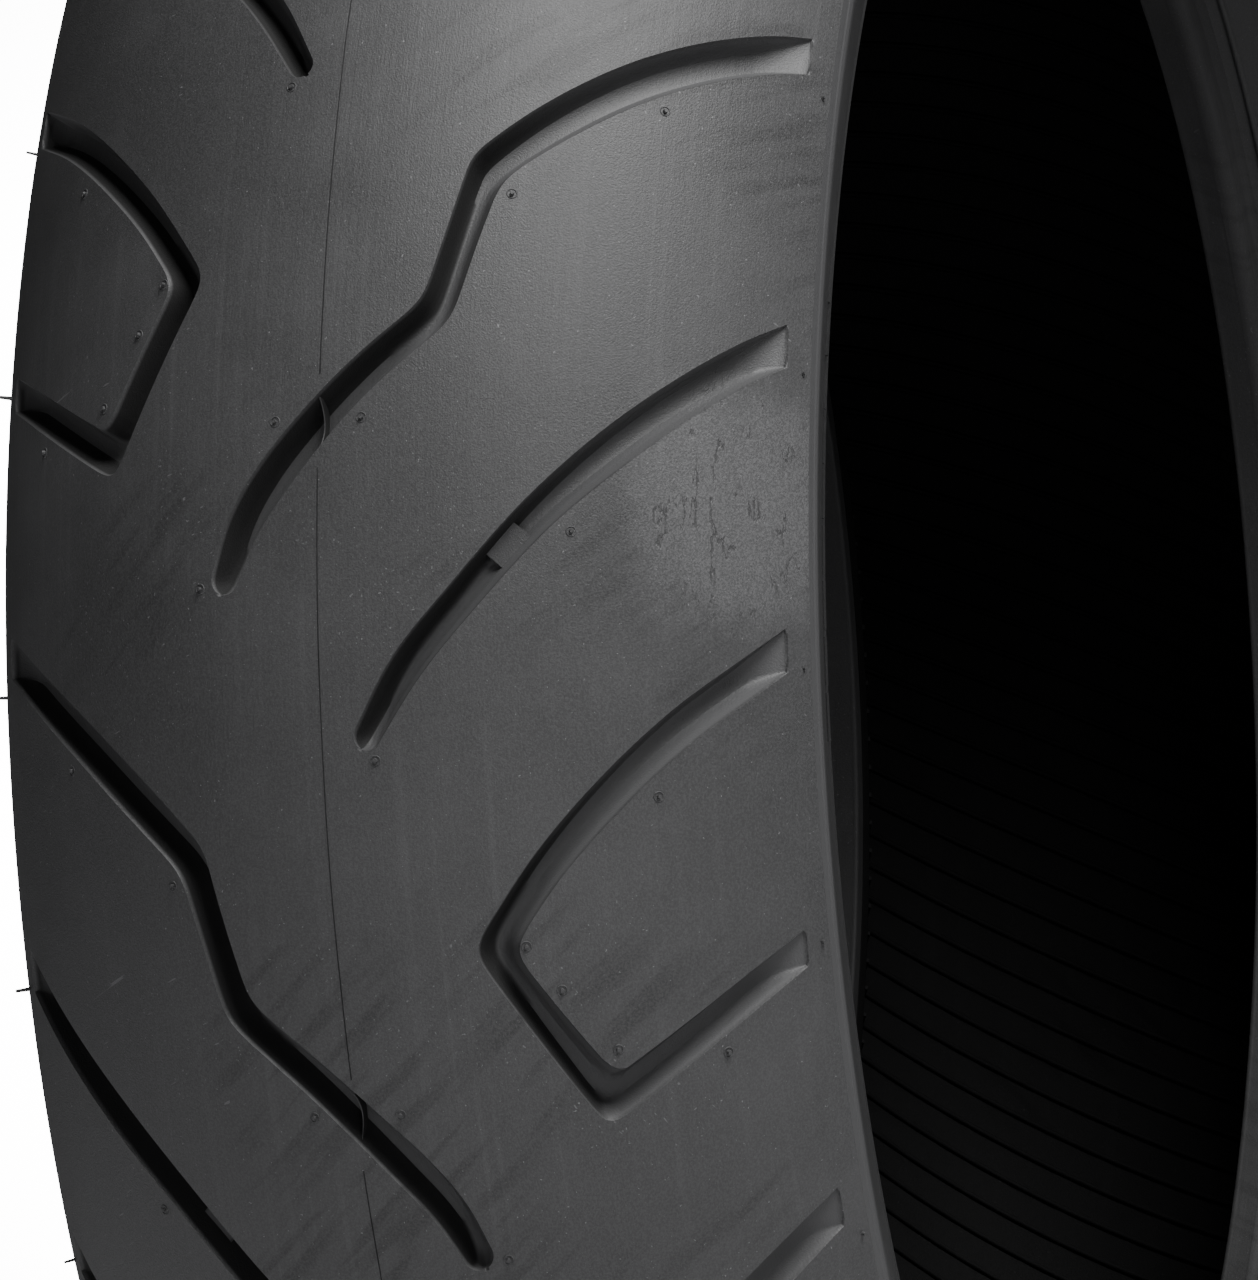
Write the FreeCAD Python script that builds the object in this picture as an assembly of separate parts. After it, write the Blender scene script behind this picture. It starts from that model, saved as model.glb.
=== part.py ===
"""Tubeless radial rear tire for a motorcycle, 170/60 R17 class, built up layer by layer.

The tire turns about the Y axis, with its centre at the origin.  A cross-section is drawn in
a half plane whose coordinates are (y, r): y runs across the tire and r is the distance from
the axis.  Every layer is one ring, made by turning its own face of that section.
"""

import FreeCAD, Part
import math
import os
from FreeCAD import Vector

# ---- driving dimensions, in millimetres and degrees ----
OUTER_RADIUS = 318.0          # half of the overall diameter
CROWN_RADIUS = 103.0          # radius of the tread across the tire
SHOULDER_ANGLE = 59.0         # where the tread ends, measured round the crown's centre
SEAT_RADIUS = 218.3           # where the bead sits on the rim
HEEL_Y = 63.2                 # outer face of the bead, from the middle plane
HEEL_ROUND = 4.0
TOE_ROUND = 0.8

TREAD_THICK = 8.0
TREAD_BASE_THICK = 1.0
BELT_THICK = 1.4
BREAKER_THICK = 0.7           # there are two, with their cords crossed
PLY_THICK = 0.7               # there are two of these as well
LINER_THICK = 1.2
CHAFER_THICK = 1.0

BELT_ANGLE = 48.5             # edge of the belt and the breakers
TREAD_BASE_ANGLE = 55.0       # edge of the tread base
RIBBON_WINDINGS = 25          # turns of the rubbered steel-cord ribbon side by side

WIRE_RADIUS = 0.75            # one steel wire of the bead
WIRE_PITCH = 1.7
BEAD_CORE_RADIUS = 2.6
BEAD_WRAP_RADIUS = 2.9

REPEATS = 7                   # the tread pattern repeats this often round the tire
GROOVE_DEPTH = 6.5
SHOULDER_DEPTH = 4.2          # groove depth at the shoulder end
WEAR_BAR_HEIGHT = 1.6
WALL_DRAFT = 14.0             # slope of the groove walls, in degrees
FLOOR_ROUND = 1.0             # bevel where the walls meet the floor
CUT_ABOVE = 1.5

# ---- sizes that follow from them ----
CROWN_CENTRE = OUTER_RADIUS - CROWN_RADIUS
BASE_TOP = CROWN_RADIUS - TREAD_THICK
BELT_TOP = BASE_TOP - TREAD_BASE_THICK
BREAKER_TOP = BELT_TOP - BELT_THICK
PLY_TOP = BREAKER_TOP - 2 * BREAKER_THICK
LINER_DEPTH = 2 * PLY_THICK
INSIDE_DEPTH = LINER_DEPTH + LINER_THICK
BEAD_Y = HEEL_Y - CHAFER_THICK - 2 * PLY_THICK - BEAD_WRAP_RADIUS
BEAD_R = SEAT_RADIUS + CHAFER_THICK + 2 * PLY_THICK + BEAD_WRAP_RADIUS
TOE_Y = BEAD_Y - BEAD_WRAP_RADIUS - INSIDE_DEPTH
MIRROR_SHIFT = 180.0 / REPEATS

# ---- the outside of the lower sidewall, in (y, r) ----
SIDE_MID = (86.7, 254.2)
SIDE_LOW = (82.6, 241.0)
SIDE_TURN = (79.6, 236.1)
SIDE_FOOT = (74.6, 232.6)
FLANGE_TOP = (65.2, 227.7)
FLANGE_FOOT = (HEEL_Y, 225.4)
RIM_LINE_Y = 68.4             # moulded line that shows the tire is seated
RIM_LINE_HALF = 0.9
RIM_LINE_HEIGHT = 0.8

# ---- the path of the carcass plies from the crown to the turned-up end ----
SHOULDER_TURN_START = 57.0
SHOULDER_TURN_RADIUS = 18.0
LOWER_SLOPE = 30.0            # the lower sidewall's slope above the horizontal
TOE_TURN_RADIUS = 6.0
TURN_UP_RISE = 2.0
TURN_UP_RADIUS = 6.0
TURN_UP_SLOPE = 45.0
TURN_UP_RUN = 9.0

# ---- tread grooves: (arc length from the middle, angle round the tire, width) ----
LONG_GROOVE = [
    [(99.6, -20.78, 7.6), (90.0, -19.98, 8.4), (75.0, -18.46, 8.9), (60.0, -16.68, 9.1),
     (45.0, -14.56, 9.2), (32.2, -12.50, 8.6)],
    [(32.2, -12.50, 8.0), (28.4, -9.85, 7.4), (23.9, -6.80, 7.4)],
    [(23.9, -6.80, 7.4), (10.0, -4.60, 7.3), (0.0, -2.78, 7.8), (-10.0, -0.70, 8.4),
     (-16.5, 0.95, 7.8), (-20.6, 2.45, 6.2), (-22.3, 3.35, 3.0)],
]
SWEPT_GROOVE = [
    [(99.4, -7.05, 7.6), (90.0, -5.95, 8.0), (75.0, -3.92, 8.5), (60.0, -1.67, 8.6),
     (45.0, 0.86, 7.6), (30.0, 3.89, 7.0), (18.0, 6.45, 6.9), (11.0, 8.10, 6.4),
     (8.0, 9.35, 3.0)],
]
HOOK_GROOVE = [
    [(99.6, 6.15, 7.6), (90.0, 7.27, 8.1), (75.0, 9.05, 8.3), (60.0, 11.27, 8.2),
     (45.0, 13.98, 7.4), (31.9, 17.05, 7.0)],
    [(31.9, 17.05, 6.9), (42.3, 20.21, 7.4), (52.8, 23.39, 8.2)],
    [(52.8, 23.39, 8.2), (60.6, 22.62, 8.0), (77.0, 21.00, 7.6), (89.5, 19.80, 7.4),
     (99.6, 18.92, 7.1)],
]
END_DEPTH = 1.4               # a groove's floor rises to this depth at its two ends
WEAR_BAR = [(43.6, 1.10, 4.2), (35.2, 2.79, 4.2)]


class Path:
    """A line of tangent runs and arcs in the section; edges() gives it moved sideways."""

    def __init__(self, start, heading):
        self.points = [start]
        self.heading = heading
        self.pieces = []

    def run(self, length):
        y, r = self.points[-1]
        a = math.radians(self.heading)
        self.points.append((y + length * math.cos(a), r + length * math.sin(a)))
        self.pieces.append(("run", self.heading))
        return self

    def arc(self, radius, turn):
        """A positive turn is to the left."""
        y, r = self.points[-1]
        side = math.radians(self.heading + math.copysign(90, turn))
        centre = (y + radius * math.cos(side), r + radius * math.sin(side))
        from_angle = self.heading - math.copysign(90, turn)
        end = math.radians(from_angle + turn)
        self.pieces.append(("arc", centre, radius, from_angle, turn))
        self.points.append((centre[0] + radius * math.cos(end),
                            centre[1] + radius * math.sin(end)))
        self.heading += turn
        return self

    def edges(self, shift, first=0, last=None):
        """Edges of the path moved to its right by shift."""
        made = []
        for i, piece in list(enumerate(self.pieces))[first:last]:
            if piece[0] == "run":
                a = math.radians(piece[1] - 90)
                dy, dr = shift * math.cos(a), shift * math.sin(a)
                (y0, r0), (y1, r1) = self.points[i], self.points[i + 1]
                made.append(segment((y0 + dy, r0 + dr), (y1 + dy, r1 + dr)))
            else:
                _, centre, radius, from_angle, turn = piece
                made.append(arc_edge(centre, radius + math.copysign(shift, turn),
                                     from_angle, from_angle + turn))
        return made


def section_point(p):
    """A section point (y, r) in the plane through the axis where x is r."""
    return Vector(p[1], p[0], 0)


def segment(a, b):
    return Part.LineSegment(section_point(a), section_point(b)).toShape()


def three_point(a, b, c):
    return Part.Arc(section_point(a), section_point(b), section_point(c)).toShape()


def polar(centre, radius, angle):
    a = math.radians(angle)
    return (centre[0] + radius * math.cos(a), centre[1] + radius * math.sin(a))


def arc_edge(centre, radius, a0, a1):
    return three_point(polar(centre, radius, a0), polar(centre, radius, (a0 + a1) / 2),
                       polar(centre, radius, a1))


def crown_point(radius, angle):
    """A point round the crown's centre: angle 0 is the middle of the tread."""
    return polar((0.0, CROWN_CENTRE), radius, 90 - angle)


def crown_arc(radius, a0, a1):
    return arc_edge((0.0, CROWN_CENTRE), radius, 90 - a0, 90 - a1)


def end_of(edge, last):
    """The (y, r) of an edge's first or last point."""
    p = edge.valueAt(edge.LastParameter if last else edge.FirstParameter)
    return (p.y, p.x)


def face(edges):
    return Part.Face(Part.Wire(Part.sortEdges(edges)[0]))


def mirrored(shape):
    return shape.mirror(Vector(0, 0, 0), Vector(0, 1, 0))


def turned(section):
    """The ring that a face of the section makes round the axis."""
    solid = section.revolve(Vector(0, 0, 0), Vector(0, 1, 0), 360)
    return Part.Solid(solid.Shells[0]) if solid.ShapeType != "Solid" else solid


# ---- the carcass path ----
def carcass_path():
    """The face of the outer ply that touches the belts and the bead filler, right half."""
    path = Path((0.0, CROWN_CENTRE + PLY_TOP), 0.0)
    path.arc(PLY_TOP, -SHOULDER_TURN_START)
    path.arc(SHOULDER_TURN_RADIUS, -(180 - LOWER_SLOPE - SHOULDER_TURN_START))
    rise = 90 - LOWER_SLOPE
    across = TOE_TURN_RADIUS * (1 - math.cos(math.radians(rise)))
    length = path.points[-1][0] - across - (BEAD_Y - BEAD_WRAP_RADIUS)
    path.run(length / math.cos(math.radians(LOWER_SLOPE)))
    path.arc(TOE_TURN_RADIUS, rise)
    path.run(path.points[-1][1] - BEAD_R)
    path.arc(BEAD_WRAP_RADIUS, 180)
    path.run(TURN_UP_RISE)
    path.arc(TURN_UP_RADIUS, TURN_UP_SLOPE - 90)
    path.run(TURN_UP_RUN)
    return path


CARCASS = carcass_path()
MAIN_PIECES = 5               # pieces of the path from the crown to the bead core


def band(inner, outer, last=None):
    """The face between two lines beside the carcass path, both halves of the tire."""
    near, far = CARCASS.edges(inner, 0, last), CARCASS.edges(outer, 0, last)
    cap = segment(end_of(near[-1], True), end_of(far[-1], True))
    half = near + far + [cap]
    return face(half + [mirrored(e) for e in half])


def crown_face(outer, inner, first, last, inner_first, inner_last):
    """The face between two arcs of the crown, from one angle to another on each."""
    return face([
        crown_arc(outer, first, last),
        segment(crown_point(outer, last), crown_point(inner, inner_last)),
        crown_arc(inner, inner_last, inner_first),
        segment(crown_point(inner, inner_first), crown_point(outer, first)),
    ])


def crown_band(outer, inner, angle, inner_angle=None):
    """The face between two arcs of the crown, both halves."""
    inner_angle = angle if inner_angle is None else inner_angle
    return crown_face(outer, inner, -angle, angle, -inner_angle, inner_angle)


# ---- faces of the section ----
def core_circle(radius):
    return face([Part.Circle(section_point((BEAD_Y, BEAD_R)), Vector(0, 0, 1), radius).toShape()])


def wire_centres():
    """Seven wires, six of them packed round the middle one."""
    row_rise = WIRE_PITCH * math.sqrt(3) / 2
    for row in range(-1, 2):
        count = 3 - abs(row)
        for i in range(count):
            yield (BEAD_Y + (i - (count - 1) / 2) * WIRE_PITCH, BEAD_R + row * row_rise)


def filler_face():
    """The wedge of hard rubber between the ply and its turned-up end, above the bead core."""
    near = CARCASS.edges(0.0, 2)
    turn_up_end = end_of(near[-1], True)
    top = end_of(near[0], False)
    whole = face(near + [segment(turn_up_end, top)])
    return whole.cut(core_circle(BEAD_WRAP_RADIUS))


def outside_edges():
    """The tire's outside from the edge of the tread to the toe of the bead."""
    foot, top = Vector(*FLANGE_TOP, 0), Vector(*SIDE_FOOT, 0)
    slope = (top - foot).normalize()
    across = Vector(slope.y, -slope.x, 0)
    middle = foot + slope * ((RIM_LINE_Y - foot.x) / slope.x)
    before, after = middle - slope * RIM_LINE_HALF, middle + slope * RIM_LINE_HALF
    peak = middle + across * RIM_LINE_HEIGHT
    flat = lambda v: (v.x, v.y)
    seat_start, seat_end = (HEEL_Y - HEEL_ROUND, SEAT_RADIUS), (TOE_Y + TOE_ROUND, SEAT_RADIUS)
    return [
        three_point(crown_point(CROWN_RADIUS, SHOULDER_ANGLE), SIDE_MID, SIDE_LOW),
        three_point(SIDE_LOW, SIDE_TURN, SIDE_FOOT),
        segment(SIDE_FOOT, flat(after)),
        three_point(flat(after), flat(peak), flat(before)),
        segment(flat(before), FLANGE_TOP),
        segment(FLANGE_TOP, FLANGE_FOOT),
        segment(FLANGE_FOOT, (HEEL_Y, SEAT_RADIUS + HEEL_ROUND)),
        arc_edge((HEEL_Y - HEEL_ROUND, SEAT_RADIUS + HEEL_ROUND), HEEL_ROUND, 0, -90),
        segment(seat_start, seat_end),
        arc_edge((TOE_Y + TOE_ROUND, SEAT_RADIUS + TOE_ROUND), TOE_ROUND, -90, -180),
    ]


def lower_face():
    """The right side below the tread, out to the outside and in to the inside."""
    inside = CARCASS.edges(INSIDE_DEPTH, 1, MAIN_PIECES)
    toe = (TOE_Y, SEAT_RADIUS + TOE_ROUND)
    closing = [
        segment(end_of(inside[-1], True), toe),
        segment(crown_point(PLY_TOP - INSIDE_DEPTH, SHOULDER_TURN_START),
                crown_point(BELT_TOP, SHOULDER_TURN_START)),
        segment(crown_point(BELT_TOP, SHOULDER_TURN_START),
                crown_point(CROWN_RADIUS, SHOULDER_ANGLE)),
    ]
    return face(outside_edges() + inside + closing)


def cushion_face():
    """The soft strip that fills the step at the belt's edge."""
    tip = 22.0
    shoulder = CARCASS.pieces[1]
    outer_end = polar(shoulder[1], shoulder[2], tip)
    return face([
        crown_arc(BELT_TOP, BELT_ANGLE, TREAD_BASE_ANGLE - 1.5),
        segment(crown_point(BELT_TOP, TREAD_BASE_ANGLE - 1.5), outer_end),
        arc_edge(shoulder[1], shoulder[2], tip, 90 - SHOULDER_TURN_START),
        crown_arc(PLY_TOP, SHOULDER_TURN_START, BELT_ANGLE),
        segment(crown_point(PLY_TOP, BELT_ANGLE), crown_point(BELT_TOP, BELT_ANGLE)),
    ])


def bead_zone():
    """The part of the section that the chafer covers, down to the rim."""
    corners = [(40, 205), (80, 205), FLANGE_TOP, (BEAD_Y + 1.0, BEAD_R + 6.5), (40, BEAD_R + 6.5)]
    return face([segment(a, b) for a, b in zip(corners, corners[1:] + corners[:1])])


# ---- the tread's grooves ----
def tread_place(s, turn, lift=0.0):
    """A point of the tread, lifted off it, and the tread's outward direction there."""
    across, around = s / CROWN_RADIUS, math.radians(turn)
    out = Vector(math.cos(across) * math.cos(around), math.sin(across),
                 -math.cos(across) * math.sin(around))
    centre = Vector(CROWN_CENTRE * math.cos(around), 0, -CROWN_CENTRE * math.sin(around))
    return centre + out * (CROWN_RADIUS + lift), out


def leg_direction(points, i):
    """The way a groove runs at one of its points."""
    near, far = points[max(i - 1, 0)], points[min(i + 1, len(points) - 1)]
    return (tread_place(*far[:2])[0] - tread_place(*near[:2])[0]).normalize()


def cutter_section(point, along, mitre, depth):
    """The groove's outline at one point: wide above the tread, narrow at the floor."""
    s, turn, width = point
    place, out = tread_place(s, turn)
    side = mitre.cross(out).normalize()
    stretch = 1 / max(0.5, side.dot(along.cross(out).normalize()))
    slope = math.tan(math.radians(WALL_DRAFT))
    top = (width / 2 + CUT_ABOVE * slope) * stretch
    floor = max(0.4, width / 2 - depth * slope) * stretch
    bottom = max(0.3, floor - FLOOR_ROUND * stretch)
    shape = [(-top, CUT_ABOVE), (-floor, FLOOR_ROUND - depth), (-bottom, -depth),
             (bottom, -depth), (floor, FLOOR_ROUND - depth), (top, CUT_ABOVE)]
    corners = [place + side * a + out * b for a, b in shape]
    return Part.makePolygon(corners + corners[:1])


def groove_depth(s, is_end):
    if is_end:
        return END_DEPTH
    share = max(0.0, abs(s) - 30.0) / 70.0
    return GROOVE_DEPTH + (SHOULDER_DEPTH - GROOVE_DEPTH) * share


def groove_cutter(legs):
    """The solid that a groove takes out of the tread: its legs, mitred at the corners."""
    made = []
    for n, leg in enumerate(legs):
        sections = []
        for i, point in enumerate(leg):
            along = leg_direction(leg, i)
            mitre, is_end = along, False
            if i == 0 and n > 0:
                mitre = along + leg_direction(legs[n - 1], len(legs[n - 1]) - 1)
            elif i == len(leg) - 1 and n < len(legs) - 1:
                mitre = along + leg_direction(legs[n + 1], 0)
            else:
                is_end = i in (0, len(leg) - 1)
            sections.append(cutter_section(point, along, mitre, groove_depth(point[0], is_end)))
        made.append(Part.makeLoft(sections, True, True))
    return made[0].fuse(made[1:]) if len(made) > 1 else made[0]


def wear_bar():
    """The block on a groove's floor that shows when the tread is worn out."""
    a, b = WEAR_BAR
    depth = groove_depth(a[0], False)
    along = (tread_place(*b[:2])[0] - tread_place(*a[:2])[0]).normalize()
    wires = []
    for s, turn, width in WEAR_BAR:
        place, out = tread_place(s, turn)
        side = along.cross(out).normalize()
        corners = [place + side * (k * width / 2) + out * h
                   for k, h in ((-1, -depth - 0.5), (1, -depth - 0.5),
                                (1, WEAR_BAR_HEIGHT - depth), (-1, WEAR_BAR_HEIGHT - depth))]
        wires.append(Part.makePolygon(corners + corners[:1]))
    return Part.makeLoft(wires, True, True)


def around(shape, angle):
    """A copy of the shape turned forward round the wheel's axis."""
    copy = shape.copy()
    copy.rotate(Vector(0, 0, 0), Vector(0, 1, 0), angle)
    return copy


def tread_cap():
    """The outer tread with its three grooves, repeated round both halves."""
    ring = turned(crown_band(CROWN_RADIUS, BELT_TOP, SHOULDER_ANGLE, SHOULDER_TURN_START)
                  .cut(crown_band(BASE_TOP, BELT_TOP, TREAD_BASE_ANGLE)).Faces[0])
    swept = groove_cutter([SWEPT_GROOVE[0]]).cut(wear_bar())
    one_side = [groove_cutter(LONG_GROOVE), swept, groove_cutter(HOOK_GROOVE)]
    other_side = [around(mirrored(cutter), MIRROR_SHIFT) for cutter in one_side]
    cutters = [around(cutter, k * 360 / REPEATS)
               for k in range(REPEATS) for cutter in one_side + other_side]
    return ring.cut(cutters)


# ---- the rings that repeat across the section ----
def belt_windings():
    """The belt's ribbon lies straight round the tire, so each winding is a ring."""
    step = 2 * BELT_ANGLE / RIBBON_WINDINGS
    starts = [i * step - BELT_ANGLE for i in range(RIBBON_WINDINGS)]
    faces = [crown_face(BELT_TOP, BREAKER_TOP, a, a + step, a, a + step) for a in starts]
    return Part.Compound([turned(f) for f in faces])


def bead_wires():
    for centre in wire_centres():
        yield Part.Circle(section_point(centre), Vector(0, 0, 1), WIRE_RADIUS).toShape()


def rings(circles):
    return Part.Compound([turned(Part.Face(Part.Wire(c))) for c in circles])


def discs(circles):
    return [Part.Face(Part.Wire(c)) for c in circles]


def build():
    """Every part of the tire by name."""
    outer_ply, inner_ply = band(0, PLY_THICK), band(PLY_THICK, LINER_DEPTH)
    liner = band(LINER_DEPTH, INSIDE_DEPTH, MAIN_PIECES)
    filler, cushion = filler_face(), cushion_face()
    core = core_circle(BEAD_WRAP_RADIUS)
    inner_core = core_circle(BEAD_CORE_RADIUS)
    side = lower_face().cut([outer_ply, inner_ply, liner, filler, cushion, core])
    chafer = side.common(bead_zone())
    sidewall = side.cut(bead_zone())
    breaker_step = BREAKER_TOP - BREAKER_THICK
    parts = {
        "tread_cap": tread_cap(),
        "tread_base": turned(crown_band(BASE_TOP, BELT_TOP, TREAD_BASE_ANGLE)),
        "zero_degree_belt": belt_windings(),
        "breaker_outer": turned(crown_band(BREAKER_TOP, breaker_step, BELT_ANGLE)),
        "breaker_inner": turned(crown_band(breaker_step, PLY_TOP, BELT_ANGLE)),
        "carcass_ply_outer": turned(outer_ply),
        "carcass_ply_inner": turned(inner_ply),
        "inner_liner": turned(liner),
    }
    per_side = {
        "belt_edge_cushion": turned(cushion),
        "sidewall": turned(sidewall.Faces[0]),
        "chafer": turned(chafer.Faces[0]),
        "bead_filler": turned(filler.Faces[0]),
        "bead_wrap": turned(core.cut(inner_core).Faces[0]),
        "bead_insulation": turned(inner_core.cut(discs(bead_wires())).Faces[0]),
        "bead_wires": rings(bead_wires()),
    }
    for name, shape in per_side.items():
        parts[name + "_right"] = shape
        parts[name + "_left"] = mirrored(shape)
    return parts


os.makedirs("parts", exist_ok=True)
for name, shape in build().items():
    shape.exportStep(f"parts/{name}.step")
    print(name, shape.isValid(), len(shape.Solids), len(shape.Faces), round(shape.Volume))
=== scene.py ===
# %% [markdown]
# # A wide radial rear tire for a motorcycle
# The CAD frame gives every layer of the tire as a ring about the Y axis. Only the outside layers and the
# liner can be seen, so those are made again here with finer shapes. The belts, plies and beads inside keep
# their CAD meshes and get materials of their own.

# %% Load the frame
import bpy, bmesh, math
import numpy as np
from mathutils import Matrix, Vector
from mathutils.geometry import delaunay_2d_cdt


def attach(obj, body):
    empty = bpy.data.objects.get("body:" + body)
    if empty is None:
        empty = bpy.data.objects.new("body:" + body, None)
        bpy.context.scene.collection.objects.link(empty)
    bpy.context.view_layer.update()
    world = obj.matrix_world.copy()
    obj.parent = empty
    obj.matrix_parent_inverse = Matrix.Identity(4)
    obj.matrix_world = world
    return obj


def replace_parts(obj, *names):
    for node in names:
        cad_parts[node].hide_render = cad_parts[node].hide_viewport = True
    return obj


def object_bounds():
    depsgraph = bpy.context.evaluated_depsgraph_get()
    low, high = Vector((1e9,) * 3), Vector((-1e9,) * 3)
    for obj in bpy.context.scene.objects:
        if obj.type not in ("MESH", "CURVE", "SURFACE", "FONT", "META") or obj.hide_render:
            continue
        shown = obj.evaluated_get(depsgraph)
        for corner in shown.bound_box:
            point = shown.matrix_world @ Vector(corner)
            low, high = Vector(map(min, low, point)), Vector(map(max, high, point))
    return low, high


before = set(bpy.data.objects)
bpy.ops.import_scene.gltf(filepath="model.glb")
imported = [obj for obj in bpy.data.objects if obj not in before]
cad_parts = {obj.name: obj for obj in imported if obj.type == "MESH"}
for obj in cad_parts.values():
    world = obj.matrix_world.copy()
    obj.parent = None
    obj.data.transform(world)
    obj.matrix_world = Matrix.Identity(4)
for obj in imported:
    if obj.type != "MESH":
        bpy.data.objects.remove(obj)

cad_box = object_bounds()
MM = 0.001
print("CAD nodes:", len(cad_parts))

# %% [markdown]
# The tread of a motorcycle tire is nearly a torus: one arc across, turned round the axle. So a place on it
# needs only two numbers, the arc length from the middle line and the turn round the axle. Drawing the
# pattern in those two numbers is like drawing it on the flat strip of rubber that the tread is made from.

# %% Places on the tread
OUTER_RADIUS = round(cad_box[1][0] / MM, 1)    # millimetres, as every length before it reaches a mesh
CROWN_RADIUS = 103.0                           # the arc across the tread
CROWN_CENTRE = OUTER_RADIUS - CROWN_RADIUS
SHOULDER_ANGLE = 59.0                          # where the tread ends on that arc, in degrees
EDGE = CROWN_RADIUS * math.radians(SHOULDER_ANGLE)
REPEATS = 7                                    # how often the pattern comes round
PITCH = 360 / REPEATS
BELT_TOP = 94.0                                # the belt's radius about the same centre


def on_tread(across, turn, lift=0.0):
    """Places in metres and outward directions for arc lengths (mm) and turns (degrees)."""
    a = np.asarray(across, float) / CROWN_RADIUS
    t = np.radians(np.asarray(turn, float))
    out = np.stack([np.cos(a) * np.cos(t), np.sin(a), -np.cos(a) * np.sin(t)], -1)
    centre = np.stack([np.cos(t), np.zeros_like(t), -np.sin(t)], -1) * CROWN_CENTRE
    lift = np.asarray(lift, float)[..., None]
    return (centre + out * (CROWN_RADIUS + lift)) * MM, out


def mm_per_degree(across):
    """How far one degree of turn is on the tread at that arc length."""
    return math.radians(1) * (CROWN_CENTRE + CROWN_RADIUS * np.cos(np.asarray(across) / CROWN_RADIUS))


print("tread arc from edge to edge:", round(2 * EDGE, 1), "mm; one repeat:", round(PITCH, 2), "degrees")

# %% [markdown]
# Each groove is a channel of nearly even width. It is stored as a few stations along its middle: arc
# length, turn and width. A groove with corners has one list for each straight or curved leg, and the legs
# meet on a mitre, as the mould's steel ribs do. The left half uses the same grooves mirrored and turned
# half a repeat.

# %% The three grooves of one repeat
LONG_GROOVE = [
    [(99.6, -20.78, 8.2), (90.0, -19.98, 8.5), (75.0, -18.46, 8.9), (60.0, -16.68, 9.1),
     (45.0, -14.56, 9.0), (32.2, -12.50, 8.2)],
    [(32.2, -12.50, 7.6), (28.4, -9.85, 7.0), (23.9, -6.80, 7.0)],
    [(23.9, -6.80, 7.2), (10.0, -4.60, 7.5), (0.0, -2.78, 7.9), (-10.0, -0.70, 8.5),
     (-17.0, 1.15, 7.8), (-22.2, 3.45, 6.0)],
]
SWEPT_GROOVE = [
    [(99.4, -7.05, 8.2), (90.0, -5.95, 8.4), (75.0, -3.92, 8.5), (60.0, -1.67, 8.4),
     (45.0, 0.86, 7.6), (30.0, 3.89, 7.1), (18.0, 6.45, 7.0), (8.0, 9.35, 5.4)],
]
HOOK_GROOVE = [
    [(99.6, 6.15, 8.0), (90.0, 7.27, 8.1), (75.0, 9.05, 8.1), (60.0, 11.27, 7.8),
     (45.0, 13.98, 7.3), (31.9, 17.05, 6.9)],
    [(31.9, 17.05, 6.9), (42.3, 20.21, 7.4), (52.8, 23.39, 8.2)],
    [(52.8, 23.39, 8.2), (60.6, 22.62, 8.0), (77.0, 21.00, 7.6), (89.5, 19.80, 7.4),
     (99.6, 18.92, 7.1)],
]
GROOVE_DEPTH = 6.5
SHOULDER_DEPTH = 4.4
CUT_OFF = 99.0                 # an end past this arc length is cut off by the tread's edge
FULL_DEPTH_TO = 30.0           # outwards from this arc length the floor climbs slowly
TIP_CLIMB = 9.0                # how far from a tip the floor starts to climb
SHOULDER_CLIMB = 13.0          # the same at the tread's edge
CORNER_ROUND = 3.0             # how far along an edge its corner is softened, in millimetres
print("stations:", sum(len(leg) for g in (LONG_GROOVE, SWEPT_GROOVE, HOOK_GROOVE) for leg in g))

# %% [markdown]
# Each station gets the vector from the middle of its groove to the edge. Along a leg it stands square to
# the groove. At a corner it lies on the mitre line, and at the shoulder it lies along the wheel's
# direction, because the mould's edge cuts the groove off there.

# %% Half widths at the stations
def way(a, b):
    """The direction from one station to another as (across, along) in millimetres."""
    k = mm_per_degree((a[0] + b[0]) / 2)
    v = np.array([b[0] - a[0], (b[1] - a[1]) * k])
    return v / np.linalg.norm(v)


def half_vector(station, side, reference):
    """Half the groove's width along the side direction, in (mm, degrees)."""
    stretch = 1 / max(0.5, float(side @ reference))
    v = side * stretch * station[2] / 2
    return [v[0], v[1] / mm_per_degree(station[0])]


def leg_stations(legs, n):
    """Each station of one leg with its half-width vector added."""
    leg, rows = legs[n], []
    for i, st in enumerate(leg):
        run = way(leg[max(i - 1, 0)], leg[min(i + 1, len(leg) - 1)])
        square = np.array([-run[1], run[0]])
        side = square
        if i == 0 and n > 0:
            before = way(legs[n - 1][-2], legs[n - 1][-1])
            side = square + np.array([-before[1], before[0]])
        elif i == len(leg) - 1 and n < len(legs) - 1:
            after = way(legs[n + 1][0], legs[n + 1][1])
            side = square + np.array([-after[1], after[0]])
        elif abs(st[0]) > CUT_OFF:
            side = np.array([0.0, math.copysign(1.0, square[1])])
        side = side / np.linalg.norm(side)
        rows.append([st[0], st[1], *half_vector(st, side, square), st[2] / 2])
    return np.array(rows)


print("first leg of the long groove:", len(leg_stations(LONG_GROOVE, 0)), "stations")

# %% [markdown]
# A smooth curve through the stations gives the many cross-sections that a round edge needs. A Catmull-Rom
# curve passes through its stations, so the groove is where the list says. The floor climbs towards both
# ends, so that stones and water can leave.

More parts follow.
